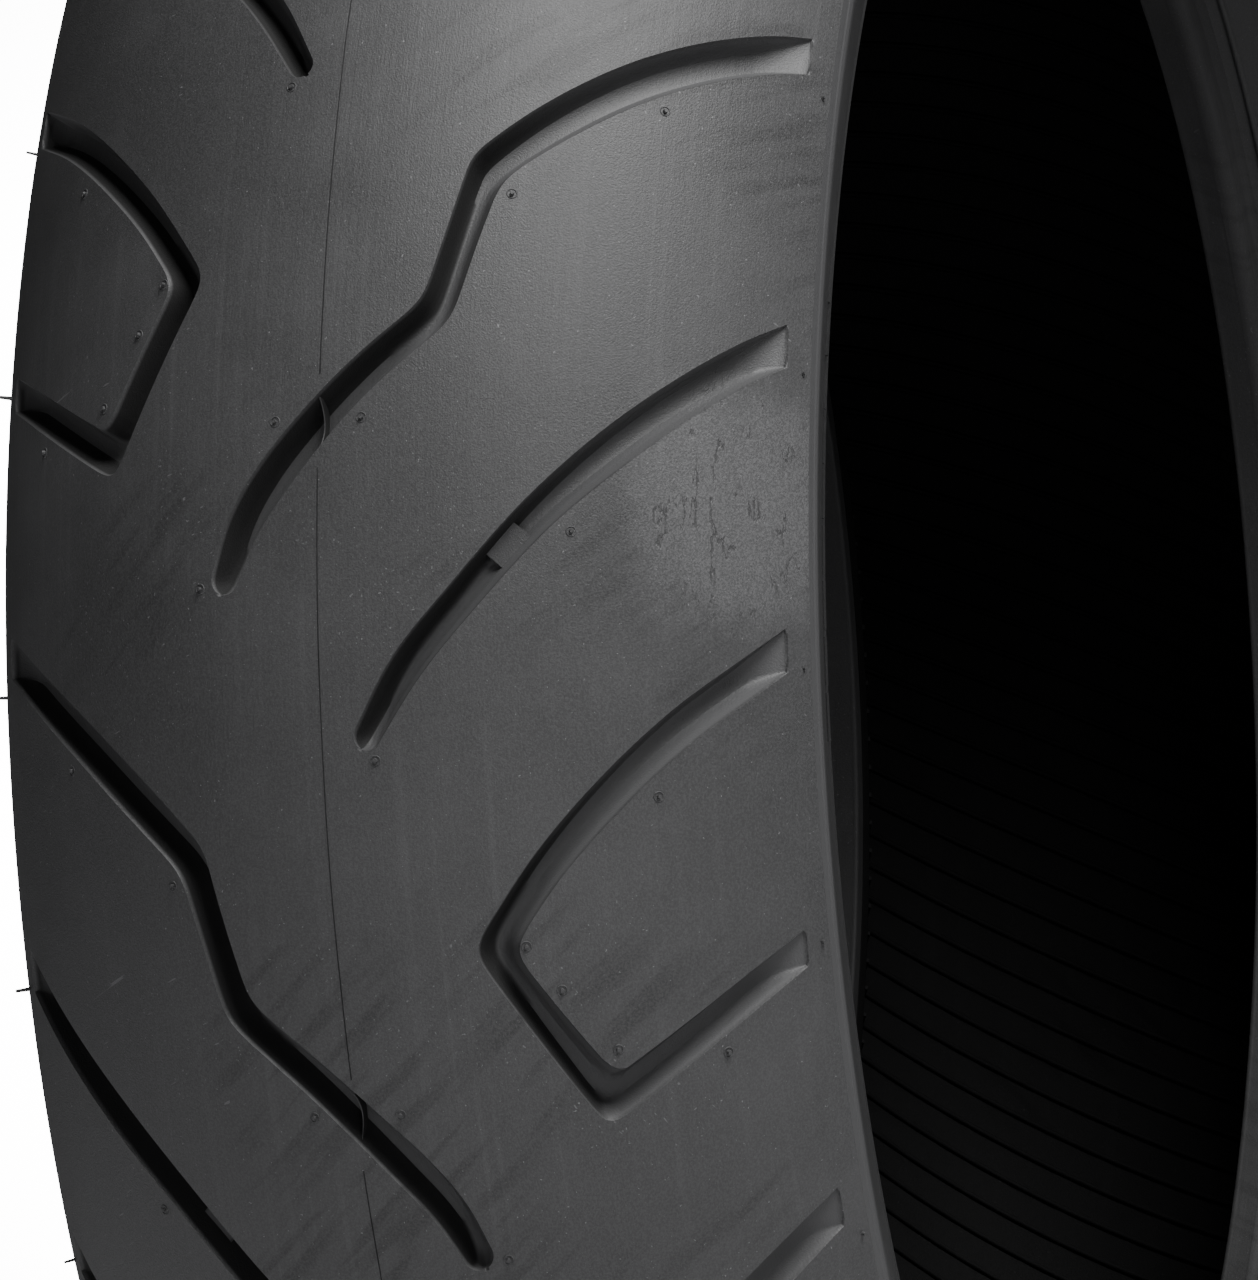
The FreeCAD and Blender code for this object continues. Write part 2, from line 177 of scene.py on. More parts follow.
# %% A smooth line and the depth along it
def smooth_line(rows, step=2.4):
    """Rows of numbers made denser along a Catmull-Rom curve."""
    ends = np.vstack([2 * rows[0] - rows[1], rows, 2 * rows[-1] - rows[-2]])
    made = []
    for a, b, c, d in zip(ends, ends[1:], ends[2:], ends[3:]):
        gap = math.hypot(c[0] - b[0], (c[1] - b[1]) * mm_per_degree(b[0]))
        count = max(2, math.ceil(gap / step))
        for t in np.arange(count) / count:
            made.append(((2 * b) + (c - a) * t + (2 * a - 5 * b + 4 * c - d) * t**2
                         + (3 * b - a - 3 * c + d) * t**3) / 2)
    return np.array(made + [rows[-1]])


def groove_depth(across, from_tip, from_shoulder):
    """The floor's depth: less towards the shoulder, and climbing near both ends."""
    outwards = np.clip((abs(across) - FULL_DEPTH_TO) / (100 - FULL_DEPTH_TO), 0, 1)
    depth = GROOVE_DEPTH - (GROOVE_DEPTH - SHOULDER_DEPTH) * outwards
    at_tip = 0.38 + 0.62 * np.sqrt(np.clip(from_tip / TIP_CLIMB, 0, 1))
    at_edge = 0.16 + 0.84 * np.sin(np.pi / 2 * np.clip(from_shoulder / SHOULDER_CLIMB, 0, 1))
    return depth * at_tip * at_edge


print("the same leg made smooth:", len(smooth_line(leg_stations(LONG_GROOVE, 0))), "cross-sections")

# %% [markdown]
# Steel ribs in a mould have no knife-sharp corners. Near a corner the two edges are made denser, and each
# is averaged along itself until the corner has a small radius. Working on the edges, and not on the middle
# line, keeps the inner and the outer corner equally round.

# %% Round the corners and collect the cross-sections
def rounded_corners(rows, corners):
    """Adds rows near each corner and averages each edge along itself, so that both turn on a radius."""
    places = rows[corners, :2]
    near = {i for c in corners for i in range(c - 3, c + 3)}
    for _ in range(2):
        made, kept = [], set()
        for i, row in enumerate(rows):
            made.append(row)
            if i in near:
                kept.update((len(made) - 1, len(made)))
                made.append((row + rows[i + 1]) / 2)
        rows, near = np.array(made), kept
    edges = [rows[:, :2] + rows[:, 2:4], rows[:, :2] - rows[:, 2:4]]
    for edge in edges:
        for place in places:
            c = int(np.argmin(np.linalg.norm(rows[:, :2] - place, axis=1)))
            span = np.arange(c - 10, c + 11)
            close = edge[c - 3:c + 4] * np.array([1, mm_per_degree(place[0])])
            step = np.linalg.norm(np.diff(close, axis=0), axis=1).mean()
            for _ in range(int(np.clip(2 * (CORNER_ROUND / step) ** 2, 4, 160))):
                edge[span] = (edge[span - 1] + 2 * edge[span] + edge[span + 1]) / 4
    rows[:, :2], rows[:, 2:4] = (edges[0] + edges[1]) / 2, (edges[0] - edges[1]) / 2
    return rows


def sections(legs):
    """Every cross-section of a groove: middle, half vector, half width and depth."""
    joined = [smooth_line(leg_stations(legs, n)) for n in range(len(legs))]
    rows = np.vstack([joined[0]] + [part[1:] for part in joined[1:]])
    corners = np.cumsum([len(part) - 1 for part in joined])[:-1]
    if len(corners):
        rows = rounded_corners(rows, corners)
    steps = np.diff(rows[:, :2], axis=0) * np.stack([np.ones(len(rows) - 1), mm_per_degree(rows[1:, 0])], -1)
    length = np.concatenate([[0], np.cumsum(np.linalg.norm(steps, axis=1))])
    has_tip = abs(rows[-1, 0]) < CUT_OFF
    from_tip = length[-1] - length if has_tip else np.full(len(rows), np.inf)
    from_shoulder = length if has_tip else np.minimum(length, length[-1] - length)
    depth = groove_depth(rows[:, 0], from_tip, from_shoulder)
    if not has_tip:
        return np.column_stack([rows, depth])
    radius = rows[-1, 4]
    body = from_tip > radius
    cap = radius * (1 - np.array([0.0, 0.3, 0.55, 0.75, 0.9, 0.98]))
    near = [np.interp(length[-1] - cap, length, rows[:, k]) for k in range(5)]
    near = np.array(near).T
    near[:, 2:5] *= np.sqrt(1 - ((radius - cap) / radius) ** 2)[:, None]
    cap_depth = np.interp(length[-1] - cap, length, depth) * np.array([1, 1, 0.97, 0.9, 0.75, 0.5])
    return np.vstack([np.column_stack([rows[body], depth[body]]), np.column_stack([near, cap_depth])])


print("cross-sections:", [len(sections(g)) for g in (LONG_GROOVE, SWEPT_GROOVE, HOOK_GROOVE)])

# %% [markdown]
# A groove's walls lean outwards so that the mould lets go, and a fillet joins wall and floor. The same
# lanes run from edge to edge in every cross-section, so a channel is a plain grid of points. One more row
# at each end closes it.

# %% The channel as a grid
WALL_SLOPE = math.tan(math.radians(17))
FLOOR_FILLET = 2.3


def lanes(width, depth):
    """Points across a groove as (share of the half width, height)."""
    fillet = min(FLOOR_FILLET, 0.5 * depth)
    wall = WALL_SLOPE * (depth - fillet)
    half = [(0.0, 0.0), (0.12, -0.28 * min(1, depth)), (wall / 2 + 0.1, -(depth - fillet) / 2),
            (wall + 0.1, fillet - depth), (wall + 0.1 + 0.24 * fillet, 0.42 * fillet - depth),
            (wall + 0.1 + 0.58 * fillet, 0.10 * fillet - depth), (wall + 0.1 + 1.0 * fillet, -depth)]
    shares = [max(1 - inset / max(width, 0.05), 0.02 * (7 - k)) for k, (inset, _) in enumerate(half)]
    left = [(s, h) for s, (_, h) in zip(shares, half)]
    return left + [(0.0, -depth)] + [(-s, h) for s, h in reversed(left)]


def groove_grid(legs):
    """Rows of (across, turn, height) for the whole channel, closed at both ends."""
    rows = sections(legs)
    grid = [[(r[0] + r[2] * s, r[1] + r[3] * s, h) for s, h in lanes(r[4], r[5])] for r in rows]
    shares = np.linspace(1, -1, len(grid[0]))

    def closing(row, beyond):
        """A row on the tread's surface, half a millimetre beyond the end."""
        push = (row[:2] - beyond[:2]) / np.linalg.norm((row[:2] - beyond[:2]) * [1, mm_per_degree(row[0])])
        middle = row[:2] + push * 0.5
        return [(middle[0] + row[2] * s, middle[1] + row[3] * s, 0.0) for s in shares]

    return np.array([closing(rows[0], rows[1])] + grid + [closing(rows[-1], rows[-2])])


example = groove_grid(LONG_GROOVE)
print("the long groove has", len(example), "cross-sections of", len(example[0]), "points")

# %% [markdown]
# The plain rubber between the grooves is one sheet with holes. Cutting a dense grid would need millions of
# faces for a crisp edge, so the sheet is triangulated between exact outlines instead. A Delaunay
# triangulation takes the outlines as fixed edges and fills the rest with well shaped triangles. The tile
# has a wavy border that passes between the grooves, so seven copies fit together with no groove cut in two.
# Points on one exact line can confuse the triangulation, so the tile's borders are bent by a hair for it.

# %% Outlines of one tile
EDGE_STEPS = 48           # how many steps a tile has along each edge of the tread
BORDER = [(EDGE, 25.0), (60.0, 26.5), (40.0, 27.5), (28.0, 31.0), (0.0, 30.0), (-8.0, 28.4),
          (-24.0, 25.0), (-50.0, 17.8), (-75.0, 14.0), (-EDGE, 25.0 - 13 * PITCH / EDGE_STEPS)]
TILE_TURNS = (5, 88)      # the tile lies between these turns, in degrees
SPACING = 3.6             # between the points that fill the sheet, in millimetres
CLEARANCE = 1.9           # from those points to any outline
FLAT = 5.2                # millimetres to a degree in the flat drawing


def dense(points, step):
    """A line of points no further apart than step, in the flat drawing."""
    points, made = np.array(points, float), []
    for a, b in zip(points, points[1:]):
        n = max(1, math.ceil(np.linalg.norm((b - a) * [1, FLAT]) / step))
        made += [a + (b - a) * k / n for k in range(n)]
    return np.array(made + [points[-1]])


def inside(points, loop):
    """Which points lie inside a closed loop, by counting crossings."""
    found = np.zeros(len(points), bool)
    for (x0, y0), (x1, y1) in zip(loop, np.roll(loop, -1, 0)):
        if y0 == y1:
            continue
        crosses = (points[:, 1] > y0) != (points[:, 1] > y1)
        found ^= crosses & (points[:, 0] < x0 + (points[:, 1] - y0) / (y1 - y0) * (x1 - x0))
    return found


def inside_none(points, loops):
    """Which points lie outside every loop."""
    return ~np.any([inside(points, loop) for loop in loops], axis=0)


def tile_grooves():
    """The six grooves of one tile, moved to where the tile lies."""
    right = [groove_grid(g) for g in (LONG_GROOVE, SWEPT_GROOVE, HOOK_GROOVE)]
    made = [g + [0, PITCH, 0] for g in right]
    for g, turn in zip(right, (1.5 * PITCH, 0.5 * PITCH, 0.5 * PITCH)):
        made.append((g * [-1, 1, 1] + [0, turn, 0])[:, ::-1])
    return made


def outline(grid):
    """The rim of a groove as one closed loop."""
    loop = np.vstack([grid[:, 0], grid[-1, 1:], grid[-2::-1, -1], grid[0, -2:0:-1]])[:, :2]
    gap = np.linalg.norm((loop - np.roll(loop, 1, 0)) * [1, FLAT], axis=1)
    return loop[gap > 1e-4]


print("points round the long groove's rim:", len(outline(example)))

# %% [markdown]
# The flat drawing holds the border and six outlines, then points that fill the plain rubber evenly. Fill
# points near an outline are left out, because they would only make slivers. The triangles inside the
# border and outside the outlines are kept.

# %% Triangulate the flat drawing
def sheet_points_and_loops(grids):
    """The flat drawing's points, outlines first, its closed loops, and how many points each border has."""
    start = dense(BORDER, SPACING)
    side = np.arange(1, EDGE_STEPS) * PITCH / EDGE_STEPS
    far_left = np.column_stack([np.full(len(side), -EDGE), BORDER[-1][1] + side])
    far_right = np.column_stack([np.full(len(side), EDGE), BORDER[0][1] + side])
    frame_loop = np.vstack([start, far_left, (start + [0, PITCH])[::-1], far_right[::-1]])
    loops = [frame_loop] + [outline(g) for g in grids]
    grid_a = np.arange(-EDGE + SPACING, EDGE - 1, SPACING)
    grid_t = np.arange(*TILE_TURNS, SPACING / FLAT * 0.9)
    fill = np.array([(a, t + (k % 2) * SPACING / FLAT / 2) for k, a in enumerate(grid_a) for t in grid_t])
    fill = fill[inside(fill, frame_loop) & inside_none(fill, loops[1:])]
    edge_points = np.vstack(loops)
    far = np.ones(len(fill), bool)
    for i in range(0, len(fill), 2000):
        d = (fill[i:i + 2000, None] - edge_points[None]) * [1, FLAT]
        far[i:i + 2000] = np.einsum("ijk,ijk->ij", d, d).min(1) > CLEARANCE**2
    return np.vstack([edge_points, fill[far]]), loops, len(start), len(side)


def bent_borders(points, n, m):
    """The points in millimetres, with the tile's four borders off their straight lines by a hair."""
    drawn = points * [1, FLAT]
    sway = 0.05 * np.sin(np.arange(1, n + 1) * 2.1)
    drawn[:n, 1] += sway
    drawn[n + m:2 * n + m, 1] += sway[::-1]
    bulge = 0.4 * (1 - (np.arange(1, m + 1) * 2 / (m + 1) - 1) ** 2)
    drawn[n:n + m, 0] -= bulge
    drawn[2 * n + m:2 * (n + m), 0] += bulge[::-1]
    return drawn


def tread_sheet(grids):
    """Triangles of the plain rubber: places in the flat drawing, and corner numbers."""
    points, loops, n, m = sheet_points_and_loops(grids)
    edges, first = [], 0
    for loop in loops:
        edges += [(first + i, first + (i + 1) % len(loop)) for i in range(len(loop))]
        first += len(loop)
    drawn = bent_borders(points, n, m)
    verts, _, faces, *_ = delaunay_2d_cdt([Vector(p) for p in drawn], edges, [], 0, 1e-5)
    print("points kept in order:", len(verts) == len(points))
    faces = np.array(faces)
    middle = drawn[faces].mean(1)
    holes = [loop * [1, FLAT] for loop in loops[1:]]
    return points, faces[inside(middle, drawn[:len(loops[0])]) & inside_none(middle, holes)]


grids = tile_grooves()
sheet_points, sheet_faces = tread_sheet(grids)
channel_points = sum(g.shape[0] * g.shape[1] for g in grids)
print("one tile:", len(sheet_faces), "plain triangles and", channel_points, "groove points")

# %% [markdown]
# The channels are sunk into the sheet's holes. Their rims use the same points as the outlines, so merging
# by distance closes the tile without a gap. Every face keeps a number that says what it is, because plain
# rubber and channels get their normals in different ways.

# %% Join the sheet and the channels into one tile
LAND, CHANNEL, UNDER = 0, 1, 2


def hub_of(place):
    """The nearest place on the circle that the tread's arc is drawn about."""
    return Vector((place.x, 0, place.z)).normalized() * CROWN_CENTRE * MM


def tile_mesh():
    """One repeat of the tread as a mesh, with each face marked as plain rubber or channel."""
    places, _ = on_tread(*sheet_points.T)
    verts, faces, kind = [places], [tuple(f) for f in sheet_faces], [LAND] * len(sheet_faces)
    count = len(places)
    for g in grids:
        p, _ = on_tread(g[..., 0], g[..., 1], g[..., 2])
        rows, cols = g.shape[:2]
        verts.append(p.reshape(-1, 3))
        number = count + np.arange(rows * cols).reshape(rows, cols)
        quads = np.stack([number[:-1, :-1], number[1:, :-1], number[1:, 1:], number[:-1, 1:]], -1)
        faces += [tuple(q) for q in quads.reshape(-1, 4)]
        kind += [CHANNEL] * ((rows - 1) * (cols - 1))
        count += rows * cols
    mesh = bpy.data.meshes.new("tread_tile")
    mesh.from_pydata(np.vstack(verts).tolist(), [], [tuple(map(int, f)) for f in faces])
    mesh.attributes.new("kind", "INT", "FACE").data.foreach_set("value", kind)
    bm = bmesh.new()
    bm.from_mesh(mesh)
    bmesh.ops.remove_doubles(bm, verts=bm.verts, dist=1e-6)
    bm.normal_update()
    for f in bm.faces:
        c = f.calc_center_median()
        if f.normal.dot(c - hub_of(c)) < 0:
            f.normal_flip()
    bm.to_mesh(mesh)
    bm.free()
    return mesh


tile = tile_mesh()
print("tile faces:", len(tile.polygons))

# %% [markdown]
# Seven copies of the tile make the ring. Geometry Nodes suit this, since the count stays a number that can
# be changed. The tree puts one instance of its input at each point of a line of points that all lie on the
# axle, turns each by its share of the circle, makes them real and merges the matching borders. The same
# small tree also repeats the vent stubs, the wear bars and the liner's ribs.

# %% A node tree that repeats anything round the axle
def node(tree, kind, **values):
    """Adds a node. A value whose name is one of its properties sets it, any other sets an input."""
    made = tree.nodes.new(kind)
    for label, value in values.items():
        if hasattr(made, label):
            setattr(made, label, value)
        else:
            made.inputs[label.replace("_", " ")].default_value = value
    return made


def wire(tree, *pairs):
    """Joins (node, output) to (node, input) for each four values in a row."""
    for a, out, b, into in pairs:
        tree.links.new(a.outputs[out], b.inputs[into])


def math_node(tree, operation, a, b=None, c=None):
    """A math node whose inputs are numbers or (node, output) pairs."""
    made = node(tree, "ShaderNodeMath", operation=operation)
    for i, value in enumerate((a, b, c)):
        if isinstance(value, tuple):
            tree.links.new(value[0].outputs[value[1]], made.inputs[i])
        elif value is not None:
            made.inputs[i].default_value = value
    return made


def tree_with(name, **sizes):
    """A geometry node tree with a named input for each size and one for the material, and its input node."""
    tree = bpy.data.node_groups.new(name, "GeometryNodeTree")
    tree.interface.new_socket("Geometry", in_out="INPUT", socket_type="NodeSocketGeometry")
    for label, value in sizes.items():
        kind = "NodeSocketInt" if isinstance(value, int) else "NodeSocketFloat"
        tree.interface.new_socket(label, in_out="INPUT", socket_type=kind).default_value = value
    tree.interface.new_socket("Material", in_out="INPUT", socket_type="NodeSocketMaterial")
    tree.interface.new_socket("Geometry", in_out="OUTPUT", socket_type="NodeSocketGeometry")
    return tree, node(tree, "NodeGroupInput")


def end_tree(tree, given, last, *between):
    """Ends a tree: real geometry, any nodes between, and the material that was given."""
    paint = node(tree, "GeometryNodeSetMaterial")
    wire(tree, (given, "Material", paint, "Material"))
    chain = [last, node(tree, "GeometryNodeRealizeInstances"), *between, paint, node(tree, "NodeGroupOutput")]
    for a, b in zip(chain, chain[1:]):
        wire(tree, (a, 0, b, 0))
    return tree


def repeat_tree():
    """Copies of the given geometry, evenly turned about the Y axis."""
    tree, given = tree_with("Repeat round the axle", Count=REPEATS, Merge=1e-6)
    points = node(tree, "GeometryNodeMeshLine", mode="OFFSET", Offset=(0, 0, 0))
    index = node(tree, "GeometryNodeInputIndex")
    share = math_node(tree, "DIVIDE", (index, 0), (given, "Count"))
    turn = math_node(tree, "MULTIPLY", (share, 0), 2 * math.pi)
    angles = node(tree, "ShaderNodeCombineXYZ")
    copies = node(tree, "GeometryNodeInstanceOnPoints")
    merge = node(tree, "GeometryNodeMergeByDistance")
    wire(tree, (given, "Count", points, "Count"), (turn, 0, angles, "Y"), (points, 0, copies, "Points"),
         (given, "Geometry", copies, "Instance"), (angles, 0, copies, "Rotation"),
         (given, "Merge", merge, "Distance"))
    return end_tree(tree, given, copies, merge)


REPEAT = repeat_tree()
print("tree inputs:", [s.name for s in REPEAT.interface.items_tree if s.in_out == "INPUT"])

# %% [markdown]
# A tree does nothing until a modifier puts it on a mesh. Its inputs are set before the first evaluation,
# then the evaluated result is stored as a plain mesh, and the modifier goes.

# %% Grow a plain mesh from node trees
def grown(name, mesh, steps, material):
    """Puts node trees on a mesh, takes the plain result and returns it as a finished object."""
    seed = bpy.data.objects.new(name + "_seed", mesh)
    bpy.context.collection.objects.link(seed)
    for tree, values in steps:
        mod = seed.modifiers.new(tree.name, "NODES")
        mod.node_group = tree
        sockets = {s.name: s.identifier for s in tree.interface.items_tree if s.in_out == "INPUT"}
        for label, value in {**values, "Material": material}.items():
            if label in sockets:
                mod[sockets[label]] = value
    bpy.context.view_layer.update()
    deps = bpy.context.evaluated_depsgraph_get()
    plain = bpy.data.meshes.new_from_object(seed.evaluated_get(deps))
    seed.modifiers.clear()
    bpy.data.objects.remove(seed)
    plain.name = name
    made = bpy.data.objects.new(name, plain)
    bpy.context.collection.objects.link(made)
    if not plain.materials:
        plain.materials.append(material)
    print(name, "has", sum(len(p.vertices) - 2 for p in plain.polygons), "triangles")
    return made


print("node trees to grow from:", len(bpy.data.node_groups))

# %% [markdown]
# Rubber looks plain, but it is never one flat black. A mould leaves a fine grain, and hands and racks leave
# smudges and scuffs. The groove walls get painted shade on the side that faces +Y and painted light on the
# side that faces -Y. Each of these is a node group, so that every rubber part can use it with its own
# strength. The groups only give masks and heights. The Principled shader stays in each material. First come
# a few helpers that all groups share.

# %% Helpers for shader trees
def shader_group(name, inputs, outputs):
    """A shader group with named numbers in and out, and its two end nodes."""
    tree = bpy.data.node_groups.new(name, "ShaderNodeTree")
    for label, value in inputs.items():
        socket = tree.interface.new_socket(label, in_out="INPUT", socket_type="NodeSocketFloat")
        socket.default_value = value
    for label in outputs:
        tree.interface.new_socket(label, in_out="OUTPUT", socket_type="NodeSocketFloat")
    return tree, node(tree, "NodeGroupInput"), node(tree, "NodeGroupOutput")


def ramp_node(tree, source, low, high, to_low=0.0, to_high=1.0):
    """A smooth step from low to high."""
    made = node(tree, "ShaderNodeMapRange", interpolation_type="SMOOTHSTEP", From_Min=low, From_Max=high,
                To_Min=to_low, To_Max=to_high)
    tree.links.new(source[0].outputs[source[1]], made.inputs["Value"])
    return made


def noise_node(tree, place, scale, detail=2.0, rough=0.5, stretch=None):
    """Noise at a place, stretched by three factors if given."""
    made = node(tree, "ShaderNodeTexNoise", Scale=scale, Detail=detail, Roughness=rough)
    if stretch:
        mapping = node(tree, "ShaderNodeMapping", Scale=stretch)
        tree.links.new(place, mapping.inputs["Vector"])
        place = mapping.outputs[0]
    tree.links.new(place, made.inputs["Vector"])
    return made


def noise_mask(tree, low, high, *noise):
    """A soft mask: empty where the noise is below low, full where it is above high."""
    return ramp_node(tree, (noise_node(tree, *noise), "Fac"), low, high)


def wheel_place(tree):
    """Object coordinates, the same as (turn, across, radius), and the nodes for turn, x y z and radius."""
    place = node(tree, "ShaderNodeTexCoord").outputs["Object"]
    parts = node(tree, "ShaderNodeSeparateXYZ")
    tree.links.new(place, parts.inputs[0])
    turn = math_node(tree, "ARCTAN2", (parts, "Z"), (parts, "X"))
    zz = math_node(tree, "MULTIPLY", (parts, "Z"), (parts, "Z"))
    square = math_node(tree, "MULTIPLY_ADD", (parts, "X"), (parts, "X"), (zz, 0))
    radius = math_node(tree, "SQRT", (square, 0))
    packed = node(tree, "ShaderNodeCombineXYZ")
    wire(tree, (turn, 0, packed, "X"), (parts, "Y", packed, "Y"), (radius, 0, packed, "Z"))
    return place, packed.outputs[0], turn, parts, radius

# %% [markdown]
# Moulded rubber has a skin of fine pits. Noise on Object coordinates is measured in metres, so a scale of
# 2600 gives pits of a third of a millimetre wherever the piece lies.

# %% The moulded grain
def make_grain():
    """Fine pitted skin of moulded rubber."""
    tree, given, result = shader_group("Moulded grain", {"Strength": 1.0}, ["Height", "Speckle", "Tone"])
    place = node(tree, "ShaderNodeTexCoord").outputs["Object"]
    fine = noise_node(tree, place, 2600, 2.0, 0.6)
    coarse = noise_node(tree, place, 260, 3.0, 0.55)
    both = math_node(tree, "MULTIPLY_ADD", (coarse, "Fac"), 0.35, (fine, "Fac"))
    height = math_node(tree, "MULTIPLY", (both, 0), (given, "Strength"))
    speck = noise_mask(tree, 0.74, 0.80, place, 1500, 1.0)
    tone = noise_mask(tree, 0.36, 0.66, place, 2100, 2.0, 0.7)
    wire(tree, (height, 0, result, "Height"), (speck, 0, result, "Speckle"), (tone, 0, result, "Tone"))
    return tree


GRAIN = make_grain()
print("made:", GRAIN.name)

# %% [markdown]
# Handling wipes the surface in large soft shapes. Wiped bands lean across the tread, and streaks follow the
# wheel's turn, so both read coordinates that are wound round the axle.

# %% Smudges, streaks and wiped bands
def make_smudges():
    """Wiped and handled areas, in large soft shapes with streaks along the wheel's turn."""
    tree, given, result = shader_group("Smudges", {"Amount": 1.0, "Seed": 0.0}, ["Smudge", "Streak", "Wipe"])
    place, round_place, *_ = wheel_place(tree)
    move = node(tree, "ShaderNodeVectorMath", operation="ADD")
    spot = node(tree, "ShaderNodeCombineXYZ")
    wire(tree, (given, "Seed", spot, "X"), (given, "Seed", spot, "Y"))
    tree.links.new(place, move.inputs[0])
    tree.links.new(spot.outputs[0], move.inputs[1])
    large = noise_mask(tree, 0.42, 0.70, move.outputs[0], 9, 5.0, 0.62)
    small = noise_mask(tree, 0.40, 0.75, move.outputs[0], 42, 4.0, 0.65)
    both = math_node(tree, "MULTIPLY_ADD", (small, 0), 0.45, (large, 0))
    smudge = math_node(tree, "MULTIPLY", (both, 0), (given, "Amount"))
    streak = noise_mask(tree, 0.50, 0.78, round_place, 1.0, 3.0, 0.6, (2.2, 420.0, 60.0))
    masked = math_node(tree, "MULTIPLY", (streak, 0), (large, 0))
    level = node(tree, "ShaderNodeMapping", Scale=(0.3, 1, 0))
    turned = node(tree, "ShaderNodeMapping", Rotation=(0, 0, -0.85))
    wire(tree, (round_place.node, round_place.name, level, 0), (level, 0, turned, 0))
    bands = noise_mask(tree, 0.46, 0.66, turned.outputs[0], 1.0, 2.0, 0.5, (28, 270, 1))
    here = noise_mask(tree, 0.50, 0.62, place, 13, 2.0)
    wipe = math_node(tree, "MULTIPLY", (bands, 0), (here, 0))
    wire(tree, (smudge, 0, result, "Smudge"), (masked, 0, result, "Streak"), (wipe, 0, result, "Wipe"))
    return tree


SMUDGES = make_smudges()
print("made:", SMUDGES.name)

# %% [markdown]
# Noise that is stretched very far in one direction becomes thin lines. Two directions of short lines give
# scratches, and lines along the wheel's turn give the rings that the mould's machining leaves.

# %% Scratches and turning lines
def make_scratches():
    """Short hair-thin marks in two directions."""
    tree, given, result = shader_group("Fine scratches", {"Amount": 1.0}, ["Scratch"])
    place = node(tree, "ShaderNodeTexCoord").outputs["Object"]
    found = None
    for angle, stretch in ((0.5, (10, 1500, 1500)), (-0.8, (14, 1300, 1300))):
        mapping = node(tree, "ShaderNodeMapping", Rotation=(angle, angle * 0.7, angle))
        tree.links.new(place, mapping.inputs["Vector"])
        thin = noise_mask(tree, 0.745, 0.79, mapping.outputs[0], 1.0, 1.0, 0.4, stretch)
        found = thin if found is None else math_node(tree, "MAXIMUM", (found, 0), (thin, 0))
    patch = noise_mask(tree, 0.48, 0.66, place, 22, 2.0)
    kept = math_node(tree, "MULTIPLY", (found, 0), (patch, 0))
    out = math_node(tree, "MULTIPLY", (kept, 0), (given, "Amount"))
    wire(tree, (out, 0, result, "Scratch"))
    return tree


def make_turning_lines():
    """Fine rings round the wheel left by the mould's machining."""
    tree, given, result = shader_group("Mould turning lines", {"Strength": 1.0}, ["Height"])
    _, round_place, *_ = wheel_place(tree)
    rings = noise_node(tree, round_place, 1.0, 2.0, 0.7, (0.25, 900.0, 500.0))
    height = math_node(tree, "MULTIPLY", (rings, "Fac"), (given, "Strength"))
    wire(tree, (height, 0, result, "Height"))
    return tree


SCRATCHES, TURNED = make_scratches(), make_turning_lines()
print("made:", SCRATCHES.name, "and", TURNED.name)

# %% [markdown]
# Painted shade and painted light inside the grooves: walls that face +Y are painted near black as shade,
# walls that face -Y are painted lighter as painted light, and all that lies below the tread gets a grey of
# its own for the groove's painted shading. The mask compares the surface's normal with the tread's own
# outward direction at that place, so it needs no drawing of the grooves.

# %% Painted shade and light on the walls inside a groove
def make_groove_shading():
    """Masks for painted shade on groove walls that face +Y, painted light on walls that face -Y, and painted
    shading of all that lies below the tread.
    """
    tree, given, result = shader_group("Painted groove shade and light", {"Start": 0.0003, "Full": 0.0012},
                                       ["Right facing", "Left facing", "Below"])
    coords = node(tree, "ShaderNodeTexCoord")
    flat = node(tree, "ShaderNodeVectorMath", operation="MULTIPLY")
    flat.inputs[1].default_value = (1, 0, 1)
    hub_way = node(tree, "ShaderNodeVectorMath", operation="NORMALIZE")
    hub = node(tree, "ShaderNodeVectorMath", operation="SCALE", Scale=CROWN_CENTRE * MM)
    from_hub = node(tree, "ShaderNodeVectorMath", operation="SUBTRACT")
    size = node(tree, "ShaderNodeVectorMath", operation="LENGTH")
    out = node(tree, "ShaderNodeVectorMath", operation="NORMALIZE")
    lean = node(tree, "ShaderNodeVectorMath", operation="SUBTRACT")
    parts_of_lean = node(tree, "ShaderNodeSeparateXYZ")
    wire(tree, (coords, "Object", flat, 0), (flat, 0, hub_way, 0), (hub_way, 0, hub, 0),
         (coords, "Object", from_hub, 0), (hub, 0, from_hub, 1), (from_hub, 0, size, 0),
         (from_hub, 0, out, 0), (coords, "Normal", lean, 0), (out, 0, lean, 1), (lean, 0, parts_of_lean, 0))
    depth = math_node(tree, "SUBTRACT", CROWN_RADIUS * MM, (size, "Value"))
    below = ramp_node(tree, (depth, 0), 0.0, 1.0)
    wire(tree, (given, "Start", below, "From Min"), (given, "Full", below, "From Max"),
         (below, 0, result, "Below"))
    for low, high, label in ((0.08, 0.50, "Right facing"), (-0.08, -0.50, "Left facing")):
        facing = ramp_node(tree, (parts_of_lean, "Y"), low, high)
        kept = math_node(tree, "MULTIPLY", (facing, 0), (below, 0))
        wire(tree, (kept, 0, result, label))
    return tree


GROOVE_SHADING = make_groove_shading()
print("made:", GROOVE_SHADING.name)

# %% [markdown]
# Where a tire has leaned on another, a dusty patch with torn lines is left. The patch is an ellipse on the
# tread whose rim is broken up by noise. Thin lines lie where another noise crosses its middle value.

# %% A scuffed patch
PATCH_RADIUS = 0.29    # metres from the axle, about where the patches lie


